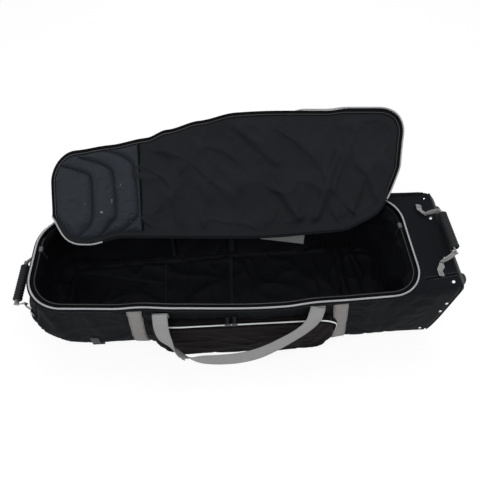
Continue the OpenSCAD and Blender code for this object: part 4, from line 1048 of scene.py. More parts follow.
# Soft lid: (x, extra lean in degrees) and (x, slide up its own plane)
LID_DROOP = [(-0.56, 6.0), (-0.45, 5.0), (-0.33, 4.0), (-0.24, 3.0), (-0.17, 1.0), (0.0, 0.0), (0.25, 0.0),
             (0.5, -0.5)]
LID_SLIDE = [(-0.56, -0.034), (-0.43, -0.033), (-0.33, -0.028), (-0.23, -0.018), (-0.17, -0.002),
             (-0.08, 0.014), (0.02, 0.027), (0.27, 0.029), (0.33, 0.035), (0.5, 0.035)]
LEFT_SHIFT, RIGHT_SHIFT = 0.028, 0.026
LEFT_SAG = 0.022   # how far the lower left corner hangs below the fold
COVER_FOLD = 0.022
TUCK_IN, TUCK_UP = 0.036, 0.024   # how far the lid's lower corner at the wheel end is drawn in and up


def throw(points):
    """Carries points of the closed lid to where they lie when it is thrown open."""
    p = np.asarray(points, float)
    x, y, z = p[..., 0], p[..., 1] - FOLD_Y, p[..., 2] - FOLD_Z
    up_lid = ease(-y / 0.09)
    lean = LID_OPEN + np.radians(profile(x, LID_DROOP)) * up_lid
    corner = ease((x - 0.30) / 0.14) * ease((y + 0.10) / 0.11)
    out = (x + LEFT_SHIFT * ease((-0.34 - x) / 0.2)
           + RIGHT_SHIFT * ease((x - 0.30) / 0.16) * np.clip(-y / 0.26, 0, 1.1) ** 2 - TUCK_IN * corner)
    y = y - profile(x, LID_SLIDE) * up_lid - TUCK_UP * corner \
        + LEFT_SAG * ease((-0.30 - x) / 0.12) * ease((y + 0.03) / 0.05)
    return np.stack([out, FOLD_Y + y * np.cos(lean) + z * np.sin(lean),
                     FOLD_Z - y * np.sin(lean) + z * np.cos(lean)], -1)


skin_ring = rim_ring(-SKIN_IN, 0)
dome = ring_patch(skin_ring, 72, 240)
rim_d = distance(dome, skin_ring[::2])
dome_share = profile(rim_d, [(0, 0), (0.010, 0.45), (0.026, 0.8), (0.052, 1.0), (1.0, 1.0)])
free = ease(rim_d / 0.03)
dome[..., 2] = LID_SKIN_Z + CLOTH_T + DOME_H * dome_share + free * (
    0.0035 * noise_at(dome * [1, 1, 0], (5, 5, 1), 2.6)
    - 0.0035 * ridges(dome * [1, 1, 0], (6, 14, 1), 7.3, 3)
    - 0.003 * bump(rim_d, 0.052, 0.004))
dome = simulate(dome, np.clip(1 - rim_d / 0.02, 0.03, 1), frames=14, grow=0.012, pressure=0.6, stiff=20,
                bend=2.0, cap=0.006)
dome[..., 2] = np.maximum(dome[..., 2], LID_SKIN_Z + CLOTH_T + 0.0002)
# The cover stands past the lid's edge in one fold near the wheel end
fold = bump(dome[..., 0], 0.385, 0.055) * bump(rim_d, 0.019, 0.013) * ease(-dome[..., 1] / 0.05)
dome[..., 1] -= COVER_FOLD * fold
finish(skin("lid_cover", throw(dome), CLOTH_T * 0.9), BODY, "lid", "lid_cloth", "lid_panel")

sheet = ring_patch(skin_ring, 90, 300)
sheet_d = distance(sheet, skin_ring[::2])
free = ease((sheet_d - TAPE_W) / 0.03)


def along_line(points, a, b, width):
    """Ridge of height 1 on the segment from a to b in plan, fading over width."""
    a, b = np.array(a), np.array(b)
    q = points[..., :2]
    t = np.clip(((q - a) @ (b - a)) / ((b - a) @ (b - a)), 0, 1)
    far = np.linalg.norm(q - (a + t[..., None] * (b - a)), axis=-1)
    return np.exp(-(far / width) ** 2)


QUILT_X = LEFT_X + 0.286
flat_points = sheet * [1, 1, 0]
turn = np.array([[0.75, 0.66, 0], [-0.66, 0.75, 0], [0, 0, 1]]).T
creases = (0.0050 * ridges(flat_points @ turn, (5, 14, 1), 4.2, 3.5)
           + 0.003 * ridges(flat_points, (11, 5, 1), 8.8, 3)
           + 0.0035 * noise_at(flat_points, (7, 7, 1), 5.5))
for a, b, h, w in (((0.10, 0.01), (0.19, 0.11), 0.006, 0.012), ((0.30, -0.03), (0.236, 0.11), 0.007, 0.014),
                   ((-0.19, -0.10), (-0.06, 0.05), 0.003, 0.016), ((0.33, -0.11), (0.44, 0.02), 0.003, 0.016),
                   ((0.02, -0.12), (0.13, -0.02), 0.004, 0.012)):
    creases = creases + h * along_line(sheet, a, b, w)
sheet[..., 2] = LID_LINING_Z + free * (0.002 - 1.4 * creases)
sheet[..., 2] += 0.004 * ease((QUILT_X - 0.01 - sheet[..., 0]) / 0.02) * free
sheet = simulate(sheet[:, ::-1], np.clip(1 - (sheet_d[:, ::-1] - TAPE_W) / 0.02, 0.03, 1), frames=12,
                 grow=0.016, pressure=0.2, stiff=20, bend=1.0, cap=0.0045)[:, ::-1]
sheet[..., 2] = np.minimum(sheet[..., 2], LID_SKIN_Z + DOME_H * 0.5 * ease(sheet_d / 0.03))
finish(skin("lid_lining_cloth", throw(sheet[:, ::-1]), 0.001), LID_LINING, "lid", "lid_cloth", "lid_lining")

lid_ring = rim_ring(-LID_IN, LID_PIPING_Z)
# Most of the piping has rolled over to the lid's outside, and along the fold the cloth is only turned in
over = ease((0.21 - lid_ring[:, 0]) / 0.05) * (1 - ease((lid_ring[:, 1] - 0.02) / 0.05)
                                               * ease((-0.30 - lid_ring[:, 0]) / 0.05))
lid_edge = lerp(lid_ring, rim_ring(-LID_IN - 0.009, LID_PIPING_Z + 0.0125), over[:, None])
bare = (lid_ring[:, 1] > 0.095) & (lid_ring[:, 0] > -0.365)
first_piped = int(np.argmax(~bare & np.roll(bare, 1)))
lid_edge, lid_ring, bare = (np.roll(v, -first_piped, 0) for v in (lid_edge, lid_ring, bare))
lid_piping = sweep("lid_piping_cord", resample(throw(lid_edge[~bare]), 0.006), LID_UP,
                   round_section(PIPING_R * 0.8, 14))
finish(lid_piping, PIPING, "lid", "piping", "lid_piping")
lid_fold = sweep("lid_fold_roll", resample(throw(lid_ring[bare]), 0.006), LID_UP, round_section(PIPING_R, 14))
finish(lid_fold, BODY, "lid", "lid_cloth")
lid_tape_rows = [throw(hoop_part(-SKIN_IN - t * TAPE_W, LID_TAPE_Z - 0.0006 * math.sin(math.pi * t), False))
                 for t in np.linspace(0, 1, 6)]
finish(skin("lid_zip_tape", np.array(lid_tape_rows)[:, ::-1], TAPE_T), TAPE, "lid", "zipper_tape",
       "lid_zipper_tape")
lid_coil_path = throw(hoop_part(-SKIN_IN - TAPE_W + COIL_W, LID_TAPE_Z - COIL_H / 2 - 0.0002, False))
teeth("lid_zip_coil", lid_coil_path, LID_DOWN, ZIP_PITCH, (0.0012, COIL_W, COIL_H), COIL, "lid", "dark_coil",
      "lid_zipper_coil")

# Quilted pad with three sewn grooves, one inside the other
QUILT_IN = TAPE_W + SKIN_IN + 0.001
pad_ring = rim_ring(-QUILT_IN, 0)
around = np.take(pad_ring, np.arange(BACK_RIGHT, FRONT_RIGHT + 1), axis=0)
inside = around[around[:, 0] < QUILT_X]
seam_b = int(np.argmin(np.linalg.norm(inside - pad_ring[SEAM_BACK], axis=-1)))
seam_f = int(np.argmin(np.linalg.norm(inside - pad_ring[SEAM_FRONT], axis=-1)))
pad_right = np.array([inside[-1] * [0, 1, 1] + [QUILT_X, 0, 0], inside[0] * [0, 1, 1] + [QUILT_X, 0, 0]])
pad_front = np.vstack([inside[seam_f:], pad_right[:1]])
pad_back = np.vstack([pad_right[1:], inside[:seam_b + 1]])[::-1]
pad = patch(inside[seam_b:seam_f + 1][::-1], pad_right, pad_front, pad_back, 190, 190)
pad_outline = np.vstack([inside, resample(pad_right, 0.003)])
GROOVES = (
    ((-0.239, -0.093), (-0.218, -0.088), (-0.198, -0.082), (-0.154, -0.067), (-0.141, -0.046),
     (-0.141, 0.029), (-0.147, 0.090), (-0.184, 0.113), (-0.224, 0.130)),
    ((-0.179, -0.114), (-0.133, -0.101), (-0.091, -0.080), (-0.075, -0.050), (-0.073, 0.073), (-0.089, 0.100),
     (-0.114, 0.121), (-0.169, 0.149)),
    ((-0.111, -0.128), (-0.062, -0.115), (-0.024, -0.085), (-0.014, -0.050), (-0.012, 0.074), (-0.039, 0.112),
     (-0.074, 0.140)))
GROOVE_HALF = 0.0008
grooves = [curve_through([(QUILT_X + x, y, 0) for x, y in line], 0.003)[:, :2] for line in GROOVES]
groove_d = np.maximum(distance(pad, np.vstack(grooves)) - GROOVE_HALF, 0)
near = np.minimum(groove_d, distance(pad, pad_outline[::2]))
puff = (0.0014 + 0.0100 * (1 - np.exp(-near / 0.0065))
        + 0.0015 * noise_at(pad * [1, 1, 0], (11, 11, 1), 3.9) * ease(near / 0.01))
puff = puff - 0.0016 * ridges(pad * [1, 1, 0], (16, 16, 1), 2.4, 3) * (1 - np.exp(-near / 0.012))
pad[..., 2] = LID_LINING_Z + 0.0005 - puff
pad = simulate(pad[:, ::-1], np.clip(1.15 - near[:, ::-1] / 0.007, 0.02, 1), frames=12, grow=0.020,
               pressure=0.3, stiff=15, bend=0.5, cap=0.003)[:, ::-1]
pad[..., 2] = np.minimum(pad[..., 2], LID_LINING_Z - 0.0012)
quilt = skin("lid_quilt", throw(pad[:, ::-1]), 0.0018)
finish(quilt, QUILT, "lid", "quilt_cloth", "lid_quilt_pad")


def within(points, ring):
    """Whether each point lies inside the closed outline, in plan."""
    x, y = points[:, 0, None], points[:, 1, None]
    a, b = ring, np.roll(ring, -1, 0)
    slope = (b[:, 0] - a[:, 0]) / np.where(b[:, 1] == a[:, 1], 1e-9, b[:, 1] - a[:, 1])
    crossed = ((a[:, 1] > y) != (b[:, 1] > y)) & (x < a[:, 0] + (y - a[:, 1]) * slope)
    return crossed.sum(1) % 2 == 1


# The stitches sit in the grooves in near-black thread, which stands for the stitching and for the grooves'
# painted shade.
for k, line in enumerate(grooves):
    path = line[within(line, inside)]
    path = np.column_stack([path, np.full(len(path), LID_LINING_Z - 0.0026)])
    stitches(f"quilt_stitches_{k}", throw(path), LID_DOWN, GROOVE_SHADE_THREAD, "lid", "quilt_cloth", 0.004,
             (0.0030, 0.0009, 0.0006))
edge_path = np.array([(QUILT_X, y, LID_LINING_Z - 0.0045)
                      for y in np.linspace(pad_right[0, 1], pad_right[1, 1], 60)])
quilt_edge = sweep("quilt_binding", throw(edge_path), LID_DOWN, flat_section(0.0042, 0.0020, 0.0005))
finish(quilt_edge, TAPE, "lid", "quilt_cloth")

# Flat pocket on the lid's outside
px0, px1 = low("lid_outer_pocket")[0], high("lid_outer_pocket")[0]
py0 = -RIGHT_HALF + SKIN_IN + 0.054
py1 = py0 + 0.150
pocket_z = LID_SKIN_Z + DOME_H + CLOTH_T
pu, pv = np.meshgrid(np.linspace(0, 1, 60), np.linspace(0, 1, 50))
corner = 0.024
pocket = np.stack([lerp(px0, px1, pu), lerp(py0, py1, pv), pu * 0], -1)
px_in = np.minimum(pocket[..., 0] - px0, px1 - pocket[..., 0])
cut = np.where(px_in < corner, corner - np.sqrt(np.maximum(corner ** 2 - (corner - px_in) ** 2, 0)), 0)
pocket[..., 1] = lerp(py0 + cut, py1 - cut, pv)
lid_in_d = np.minimum(px_in, np.minimum(pocket[..., 1] - py0 - cut, py1 - cut - pocket[..., 1]))
pocket[..., 2] = pocket_z + 0.0005 + 0.011 * (1 - np.exp(-lid_in_d / 0.012)) \
    + ease(lid_in_d / 0.02) * (0.002 * noise_at(pocket * [1, 1, 0], (12, 12, 1), 5)
                               + 0.0015 * ridges(pocket * [1, 1, 0], (9, 20, 1), 2.1, 3))
finish(skin("lid_pocket_cloth", throw(pocket), 0.0015), POCKET, "lid", "body_cloth", "lid_outer_pocket")

# Slack strip of cloth from the lid's back edge to the back rim
gx = np.linspace(low("hinge_gusset")[0], high("hinge_gusset")[0], 120)
rim_in = lay(rim_ring(-PIPING_R - 0.0003, TAPE_TOP))
rim_back = rim_in[BACK_RIGHT:SEAM_BACK][::-1]
rim_pts = np.column_stack([gx, np.interp(gx, rim_back[:, 0], rim_back[:, 1]),
                           np.interp(gx, rim_back[:, 0], rim_back[:, 2])])
lid_back = rim_ring(-LID_IN, LID_PIPING_Z)[BACK_RIGHT:SEAM_BACK][::-1]
seat = throw(np.column_stack([gx, np.interp(gx, lid_back[:, 0], lid_back[:, 1]),
                              np.full(len(gx), LID_PIPING_Z)]))
seat = seat + LID_UP * (PIPING_R + 0.0003)
ts = np.linspace(0, 1, 22)[:, None, None]
gusset = lerp(seat[None], rim_pts[None], ts) + LID_UP * 0.014 * np.sin(math.pi * ts)
gusset = gusset + LID_UP * (0.003 * noise_at(gusset, (14, 9, 9), 6.2))[..., None] * np.sin(math.pi * ts)
gusset_obj = skin("hinge_cloth", gusset, LINING_T)
gusset_obj.data.materials.append(LINING)
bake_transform(gusset_obj)
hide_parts("hinge_gusset")


# ---- Front pocket ----

POCKET_LO, POCKET_HI = low("front_pocket"), high("front_pocket")
POCKET_R = 0.034
POCKET_EDGE_Y = low("pocket_zipper_tape")[1]
cx0, cx1, cz0, cz1 = POCKET_LO[0], POCKET_HI[0], POCKET_LO[2], POCKET_HI[2]


def rounded(x0, x1, z0, z1, r, count=16):
    """Edges (left, right, bottom, top) of a rounded rectangle in x and z, which meet amid its corners."""
    def arc(cx, cz, a, b):
        t = np.linspace(a, b, count)
        return np.stack([cx + r * np.cos(t), 0 * t, cz + r * np.sin(t)], -1)
    p = math.pi
    bottom = np.vstack([arc(x0 + r, z0 + r, 1.25 * p, 1.5 * p), arc(x1 - r, z0 + r, 1.5 * p, 1.75 * p)])
    top = np.vstack([arc(x0 + r, z1 - r, 0.75 * p, 0.5 * p), arc(x1 - r, z1 - r, 0.5 * p, 0.25 * p)])
    left = np.vstack([arc(x0 + r, z0 + r, 1.25 * p, p), arc(x0 + r, z1 - r, p, 0.75 * p)])
    right = np.vstack([arc(x1 - r, z0 + r, -0.25 * p, 0), arc(x1 - r, z1 - r, 0, 0.25 * p)])
    return left, right, bottom, top


def pocket_grid(rows=84, cols=190):
    """Grid over the front pocket's outline, and the distance of its points from that outline."""
    edges = rounded(cx0, cx1, cz0, cz1, POCKET_R)
    g = patch(*edges, rows, cols)
    # Rows and columns crowd towards the edges, where the gusset stands up
    def crowd(n):
        t = np.linspace(-1, 1, n)
        t = t * (0.80 + 0.20 * t ** 8)
        return (t / abs(t[0]) + 1) / 2
    r, c = crowd(rows) * (rows - 1), crowd(cols) * (cols - 1)
    i, j = np.floor(r).astype(int).clip(0, rows - 2), np.floor(c).astype(int).clip(0, cols - 2)
    fr, fc = (r - i)[:, None, None], (c - j)[None, :, None]
    g = lerp(lerp(g[i][:, j], g[i][:, j + 1], fc), lerp(g[i + 1][:, j], g[i + 1][:, j + 1], fc), fr)
    return g, distance(g, np.vstack([resample(e, 0.003) for e in edges]), (0, 2))


pocket_face, pocket_d = pocket_grid()
flat_wall = wall_at(pocket_face[..., 0].ravel(), pocket_face[..., 2].ravel(), -1)[:, 1]
flat_wall = flat_wall.reshape(pocket_d.shape)
wall_soft = smooth(np.stack([pocket_face[..., 0], flat_wall, pocket_face[..., 2]], -1), 40)[..., 1]
u = (pocket_face[..., 0] - cx0) / (cx1 - cx0)
v = (pocket_face[..., 2] - cz0) / (cz1 - cz0)
EDGE = 0.007
ends = ease(np.minimum(1, np.minimum(u, 1 - u) / 0.12))
front_edge = lerp(wall_soft - 0.006, POCKET_EDGE_Y, 0.35 + 0.65 * ends)
rise = ease(pocket_d / EDGE)
middle_out = np.sin(math.pi * np.clip(u, 0, 1)) ** 0.7 * np.sin(math.pi * np.clip(v, 0, 1) ** 0.85) ** 0.8
pocket_y = lerp(flat_wall - 0.0006, front_edge, rise)
pocket_y -= (0.014 * middle_out
             + 0.0015 * bump(pocket_d, EDGE + 0.001, 0.0018)) * ease((pocket_d - EDGE) / 0.02)
pp = np.stack([pocket_face[..., 0], pocket_y, pocket_face[..., 2]], -1)
open_part = ease((pocket_d - EDGE - 0.003) / 0.02)
pocket_y -= open_part * (0.0040 * ridges(pp, (5, 5, 22), 3.6, 3) + 0.003 * ridges(pp, (11, 11, 34), 9.6, 3)
                         + 0.003 * noise_at(pp, (6, 6, 14), 1.4))
pp[..., 1] = pocket_y
pp = simulate(pp, np.clip(1 - (pocket_d - EDGE) / 0.008, 0.01, 1), frames=18, grow=0.035, pressure=0.8,
              gravity=0.5, stiff=12, bend=0.5, cap=0.008)
pp[..., 1] = np.maximum(pp[..., 1], POCKET_LO[1] - 0.006)
front_pocket = skin("front_pocket_cloth", pp, 0.0016)
finish(front_pocket, POCKET, "bag", "body_cloth", "front_pocket")

# Zipper of the pocket: straight behind its upper front edge, then round its corners
coil_y = (low("pocket_zipper_coil")[1] + high("pocket_zipper_coil")[1]) / 2
coil_z = (low("pocket_zipper_coil")[2] + high("pocket_zipper_coil")[2]) / 2
zx0, zx1 = low("pocket_zipper_tape")[0], high("pocket_zipper_tape")[0]


def zip_route(drop, out):
    """Centre line of the pocket's zipper, drop below its coil and out in front of it."""
    z, y = coil_z - drop, coil_y - out
    left = [(cx0 + 0.010, POCKET_EDGE_Y + 0.018, cz1 - 0.040),
            (cx0 + 0.018, POCKET_EDGE_Y + 0.012, cz1 - 0.014),
            (cx0 + 0.036, y + 0.004, cz1 - 0.001), (zx0, y, z)]
    right = [(zx1, y, z), (cx1 - 0.050, y - 0.0005, cz1 + 0.0015), (cx1 - 0.028, y - 0.001, cz1 - 0.005),
             (cx1 - 0.009, y + 0.001, cz1 - 0.024), (cx1 - 0.0015, y + 0.005, cz1 - 0.050),
             (cx1 + 0.0005, y + 0.008, cz1 - 0.095)]
    mid = [(x, y, z) for x in np.linspace(zx0, zx1, 9)[1:-1]]
    return curve_through(left + mid + right, 0.004)


route = zip_route(0.0, 0.0)
# The tape lies flat along the top and turns out towards the ends, where it goes down round the corners
from_mid, below = route[:, 0] - (cx0 + cx1) / 2, cz1 - route[:, 2]
turned_out = unit(np.stack([np.sign(from_mid) * np.clip(below / 0.03, 0, 1), -0.5 + 0 * below,
                            1 - np.clip(below / 0.04, 0, 0.95)], -1))
zip_up = unit(lerp(np.array([0, 0, 1.0]), turned_out, ease((np.abs(from_mid) - 0.17) / 0.05)[:, None]))
pocket_tape = sweep("pocket_zip_tape", route - zip_up * (COIL_H / 2 + 0.0006), zip_up,
                    flat_section(0.012, 0.0010))
finish(pocket_tape, TAPE, "bag", "zipper_tape", "pocket_zipper_tape")
teeth("pocket_zip_coil", route, zip_up, 0.0022, (0.0016, COIL_W * 1.25, COIL_H * 1.1), WHITE_COIL, "bag",
      "light_coil", "pocket_zipper_coil")
pocket_core = sweep("pocket_zip_core", route, zip_up, flat_section(COIL_W * 1.1, COIL_H * 0.7))
finish(pocket_core, WHITE_COIL, "bag", "light_coil")


# ---- Webbing ----

def box_stitch(name, centre, across, along, up, w, h):
    """Box of stitches with a cross in it on a sewn strap end."""
    c, a, l = (np.asarray(q, float) for q in (centre, across, along))
    p = [c - a * w + l * h, c + a * w + l * h, c + a * w - l * h, c - a * w - l * h]
    places, tangents = [], []
    for s, e in ((0, 1), (1, 2), (2, 3), (3, 0), (0, 2), (1, 3)):
        row = resample(np.array([p[s], p[e]]), 0.0032)[:-1]
        places.append(row)
        tangents.append(np.broadcast_to(unit(p[e] - p[s]), row.shape))
    places, tangents = np.vstack(places), np.vstack(tangents)
    obj = many(name, places, tangents, np.broadcast_to(np.asarray(up, float), places.shape),
               (0.0024, 0.0007, 0.0005), 0.4)
    return finish(obj, THREAD, "bag", "webbing")


def band(name, ends, side, z0, z1):
    """Strap down the side wall from ends[0] at its top to ends[1], with its path and outward directions."""
    z = np.linspace(z1, z0, 60)
    x = np.linspace(*ends, 60)
    path = smooth_path(wall_at(x, z, side), 3)
    right, left = wall_edges(x, z, side, WEB_W)
    out = facing(path, right, left, side)
    proud = np.maximum((right - path)[:, 1] * side, (left - path)[:, 1] * side).clip(0)
    path = path + out * (WEB_T / 2 + 0.0006 + proud[:, None] * 0.7)
    return sweep(name, path, out, flat_section(WEB_W, WEB_T, 0.0003)), path, out


def smooth_path(path, times):
    """The path with its kinks smoothed and its ends kept."""
    path = np.array(path)
    for _ in range(times):
        path[1:-1] = path[1:-1] * 0.5 + (path[:-2] + path[2:]) * 0.25
    return path


# On the front the two bands lie a little slanted: shift at the top and at the bottom
for name, x, slant in (("left_band", BAND_X[0], (0.005, -0.011)),
                       ("right_band", BAND_X[1], (-0.038, -0.008))):
    for side, where in ((-1, "front"), (1, "back")):
        ends = (x + slant[0], x + slant[1]) if side < 0 else (x, x)
        obj, path, out = band(f"{name}_{where}", ends, side, FLOOR_Z + 0.004, WALL_TOP - 0.006)
        finish(obj, BAND, "bag", "webbing", *([name] if side < 0 else []))
        for d in (-1, 1):
            edge = path + np.array([d * (WEB_W / 2 - 0.003), 0, 0]) + out * (WEB_T / 2 + STITCH_LIFT)
            stitches(f"{name}_{where}_stitches_{int(d > 0)}", edge, out, THREAD, "bag", "webbing")


FRONT_LEG = -0.030   # how far the front handle's wheel-side leg has crept along
FRONT_LOOP = [(-0.215, 0), (-0.214, 0.04), (-0.208, 0.08), (-0.192, 0.118), (-0.165, 0.148), (-0.125, 0.166),
              (-0.075, 0.173), (-0.02, 0.170), (0.03, 0.155), (0.07, 0.131), (0.107, 0.104), (0.140, 0.077),
              (0.165, 0.050), (0.179, 0.022), (0.215 + FRONT_LEG, 0)]


# How each handle hangs, seen from the bag's end: (y, z) from its hinge
FRONT_HANG = [(0, 0), (-0.022, -0.022), (-0.0315, -0.044), (-0.042, -0.072), (-0.055, -0.110),
              (-0.065, -0.144), (-0.073, -0.176), (-0.080, -0.204)]
BACK_HANG = [(0, 0), (0.012, -0.024), (0.018, -0.060), (0.022, -0.110), (0.025, -0.160), (0.027, -0.204)]
LOOP_DEPTH = 0.194 - WEB_W / 2
LOOP_BEND = 0.090


def back_loop(span):
    """Outline of the back handle laid flat: two straight legs and two bends, as (along, down)."""
    leg = [(-span, s) for s in np.linspace(0, LOOP_DEPTH - LOOP_BEND, 12)]
    leg += [(-span + LOOP_BEND - LOOP_BEND * math.cos(a), LOOP_DEPTH - LOOP_BEND + LOOP_BEND * math.sin(a))
            for a in np.radians(np.linspace(7.5, 82.5, 11))]
    return np.array(leg + [(-x, s) for x, s in leg[::-1]])


def handle(side, node):
    """Path, face directions and tangents of a hanging carry handle."""
    top = joints[f"{node}_swing"]["pos_m"]
    if side < 0:
        hang_line = np.array(FRONT_HANG)
        flat = curve_through([(x, s, 0) for x, s in FRONT_LOOP], 0.003)[:, :2]
    else:
        hang_line = np.array(BACK_HANG)
        flat = back_loop((high(node)[0] - low(node)[0] - WEB_W) / 2)
    way = np.concatenate([[0], np.cumsum(np.linalg.norm(np.diff(hang_line, axis=0), axis=-1))])
    flat = np.stack([np.interp(np.linspace(0, 1, 150), np.linspace(0, 1, len(flat)), flat[:, k])
                     for k in (0, 1)], -1)
    flat = smooth_path(flat, 6)

    def place(x, s):
        return np.stack([top[0] + x, top[1] + np.interp(s, way, hang_line[:, 0]),
                         top[2] + np.interp(s, way, hang_line[:, 1])], -1)
    path = smooth_path(place(flat[:, 0], flat[:, 1]), 10)
    along = unit(np.gradient(flat, axis=0))
    inwards = np.stack([-along[:, 1], along[:, 0]], -1) * 0.012
    across = unit(place(*(flat - inwards).T) - place(*(flat + inwards).T))
    tangent = unit(np.gradient(path, axis=0))
    face = unit(np.cross(tangent, across))
    face = face * np.sign(face[:, 1:2] * side + 1e-6)
    return path, face, tangent


def turned(face, tangent, angle):
    """Turns the face directions about the path."""
    side = np.cross(tangent, face)
    return face * np.cos(angle)[:, None] + side * np.sin(angle)[:, None]


# A handle's webbing waves by a few degrees; the front one also twists once on its way to the left leg
for side, node, wave, waves, twist in ((-1, "front_handle", 10, 9, 62), (1, "rear_handle", 8, 7, 0)):
    path, face, tangent = handle(side, node)
    t = np.linspace(0, 1, len(path))
    angle = np.radians(twist) * bump(t, 0.24, 0.075) \
        + np.radians(wave) * np.sin(t * waves) * ease(t / 0.1) * ease((1 - t) / 0.1)
    face = turned(face, tangent, angle)
    loop = sweep(f"{node}_webbing", path, face, flat_section(WEB_W, WEB_T, 0.0004))
    finish(loop, WEBBING, node, "webbing", node)
    if side < 0:
        k = int(0.265 * len(path))
        over_it = np.linspace(-0.021, 0.021, 9)[:, None] * np.cross(tangent[k], face[k])
        keeper = sweep(f"{node}_keeper", path[k] + over_it + face[k] * 0.0022, face[k],
                       flat_section(0.012, 0.0014))
        finish(keeper, WEBBING, node, "webbing")

tabs_lo, tabs_hi = low("handle_tabs"), high("handle_tabs")
TAB_X = (tabs_lo[0] + WEB_W / 2, tabs_hi[0] - WEB_W / 2)
hinge_y, hinge_z = abs(joints["front_handle_swing"]["pos_m"][1]), joints["front_handle_swing"]["pos_m"][2]
first = True
for side, where in ((-1, "front"), (1, "back")):
    for k, x in enumerate(TAB_X):
        x = x + FRONT_LEG if side < 0 and k else x
        z = np.linspace(tabs_lo[2] + 0.001, hinge_z - 0.020, 16)
        sewn = wall_at(np.full(16, x), z, side)
        right, left = wall_edges(np.full(16, x), z, side, WEB_W)
        out = facing(sewn, right, left, side)
        sewn = sewn + out * (WEB_T / 2 + 0.0008)
        end = np.array([[x, side * (hinge_y - 0.0028), hinge_z - 0.0012]])
        path = smooth_path(np.vstack([sewn, lerp(sewn[-1:], end, 0.5), end]), 1)
        ups = np.vstack([out, out[-1:], out[-1:]])
        tab = sweep(f"handle_tab_{where}_{k}", path, ups, flat_section(WEB_W, WEB_T, 0.0002))
        finish(tab, WEBBING, "bag", "webbing", *(["handle_tabs"] if first else []))
        first = False
        mid = sewn[6] + out[6] * (WEB_T / 2 + 0.0004)
        box_stitch(f"handle_tab_box_{where}_{k}", mid, unit(right[6] - left[6]), unit(sewn[9] - sewn[3]),
                   out[6], WEB_W / 2 - 0.004, 0.0115)

# Lashing strap with its tail through the buckle
x = np.full(14, middle("lash_strap")[0])
z = np.linspace(high("lash_strap")[2], low("lash_strap")[2] - 0.006, 14)
sewn = wall_at(x, z, -1)
right, left = wall_edges(x, z, -1, 0.024)
out = facing(sewn, right, left, -1)
lash = sweep("lash_webbing", sewn + out * 0.0022, out, flat_section(0.025, WEB_T, 0.0002))
finish(lash, DARK_WEBBING, "bag", "webbing", "lash_strap")
box_stitch("lash_box", sewn[4] + out[4] * 0.0038, unit(right[4] - left[4]), unit(sewn[7] - sewn[2]), out[4],
           0.009, 0.006)


# ---- Grab handles ----

TAB_SPAN, FOLD_W = 0.160, 0.014


def grip_strap(name, grip, joint, body, node, twist):
    """Webbing through a rubber grip, folded narrow there and turned by twist degrees at its two shoulders."""
    axis = np.array(joints[joint]["pos_m"])
    out = unit(middle(grip) - axis)
    reach = np.linalg.norm(middle(grip) - axis)
    half = TAB_SPAN / 2
    side = [(0, WEB_T / 2 + 0.0003), (0.35, 0.004), (0.72, 0.008), (0.94, 0.013), (1, 0.019)]
    pts = [axis + out * reach * p + np.array([0, -(half - q), 0]) for p, q in side]
    pts += [axis + out * reach * p + np.array([0, half - q, 0]) for p, q in side[::-1]]
    path = curve_through(pts, 0.002)
    along_y = np.abs(path[:, 1] - axis[1])
    up = unit(np.cross(np.gradient(path, axis=0), np.cross([0, 1, 0], out)))
    free = ease((along_y - half * 0.80) / (half * 0.08)) * ease((half * 0.985 - along_y) / (half * 0.05))
    tangent = unit(np.gradient(path, axis=0))
    up = turned(up, tangent, np.radians(twist) * free * np.sign(path[:, 1]))
    obj = sweep(name, path, up, flat_section(FOLD_W, WEB_T * 1.2, 0.0008))
    finish(obj, WEBBING, body, "webbing", node)


grip_strap("left_grip_strap", "left_grip", "left_grab_swing", "left_grab", "left_grip_webbing", 24)
grip_strap("wheel_grip_strap", "wheel_grip", "wheel_grab_swing", "wheel_grab", "wheel_grip_webbing", 20)


def surface_near(point, direction, reach):
    """Where a ray meets the shell, and the shell's normal there."""
    hit = shell_tree.ray_cast(Vector(point), Vector(direction), reach)
    return (np.array(hit[0]), np.array(hit[1])) if hit[0] is not None else (None, None)


quads = grid_quads(shell.shape[0], shell.shape[1], closed=True)
shell_tree = BVHTree.FromPolygons([tuple(p) for p in shell.reshape(-1, 3)],
                                  [tuple(int(i) for i in q) for q in quads])
first = True
for grip in ("left", "wheel"):
    axis = np.array(joints[f"{grip}_grab_swing"]["pos_m"])
    look = np.array([1.0, 0, 0]) if grip == "left" else unit(np.array([-0.37, 0, -0.93]))
    for s in (-1, 1):
        pts = []
        for off in (0.036, 0.030, 0.024, 0.018):
            hit, _ = surface_near(axis + np.array([0, s * (TAB_SPAN / 2 + off), 0]) - look * 0.03, look, 0.08)
            if hit is not None:
                pts.append(hit - look * 0.0022)
        pts.append(axis + np.array([0, s * (TAB_SPAN / 2 + 0.008), 0]) + look * 0.0015)
        pts.append(axis + np.array([0, s * (TAB_SPAN / 2 + 0.0006), 0]))
        path = curve_through(pts, 0.002)
        w = lerp(0.014, 0.025, ease((np.abs(path[:, 1]) - TAB_SPAN / 2) / 0.016))
        section = np.array([flat_section(wi, WEB_T, 0.0002) for wi in w])
        obj = sweep(f"{grip}_grip_tab_{int(s > 0)}", path, -look, section)
        finish(obj, WEBBING, "bag", "webbing", *(["grip_tabs"] if first else []))
        first = False
        mid = pts[1] - look * (WEB_T / 2 + 0.0002)
        box_stitch(f"{grip}_grip_tab_box_{int(s > 0)}", mid, unit(np.cross(look, [0, 1, 0])),
                   np.array([0, 1.0, 0]), -look, 0.009, 0.005)


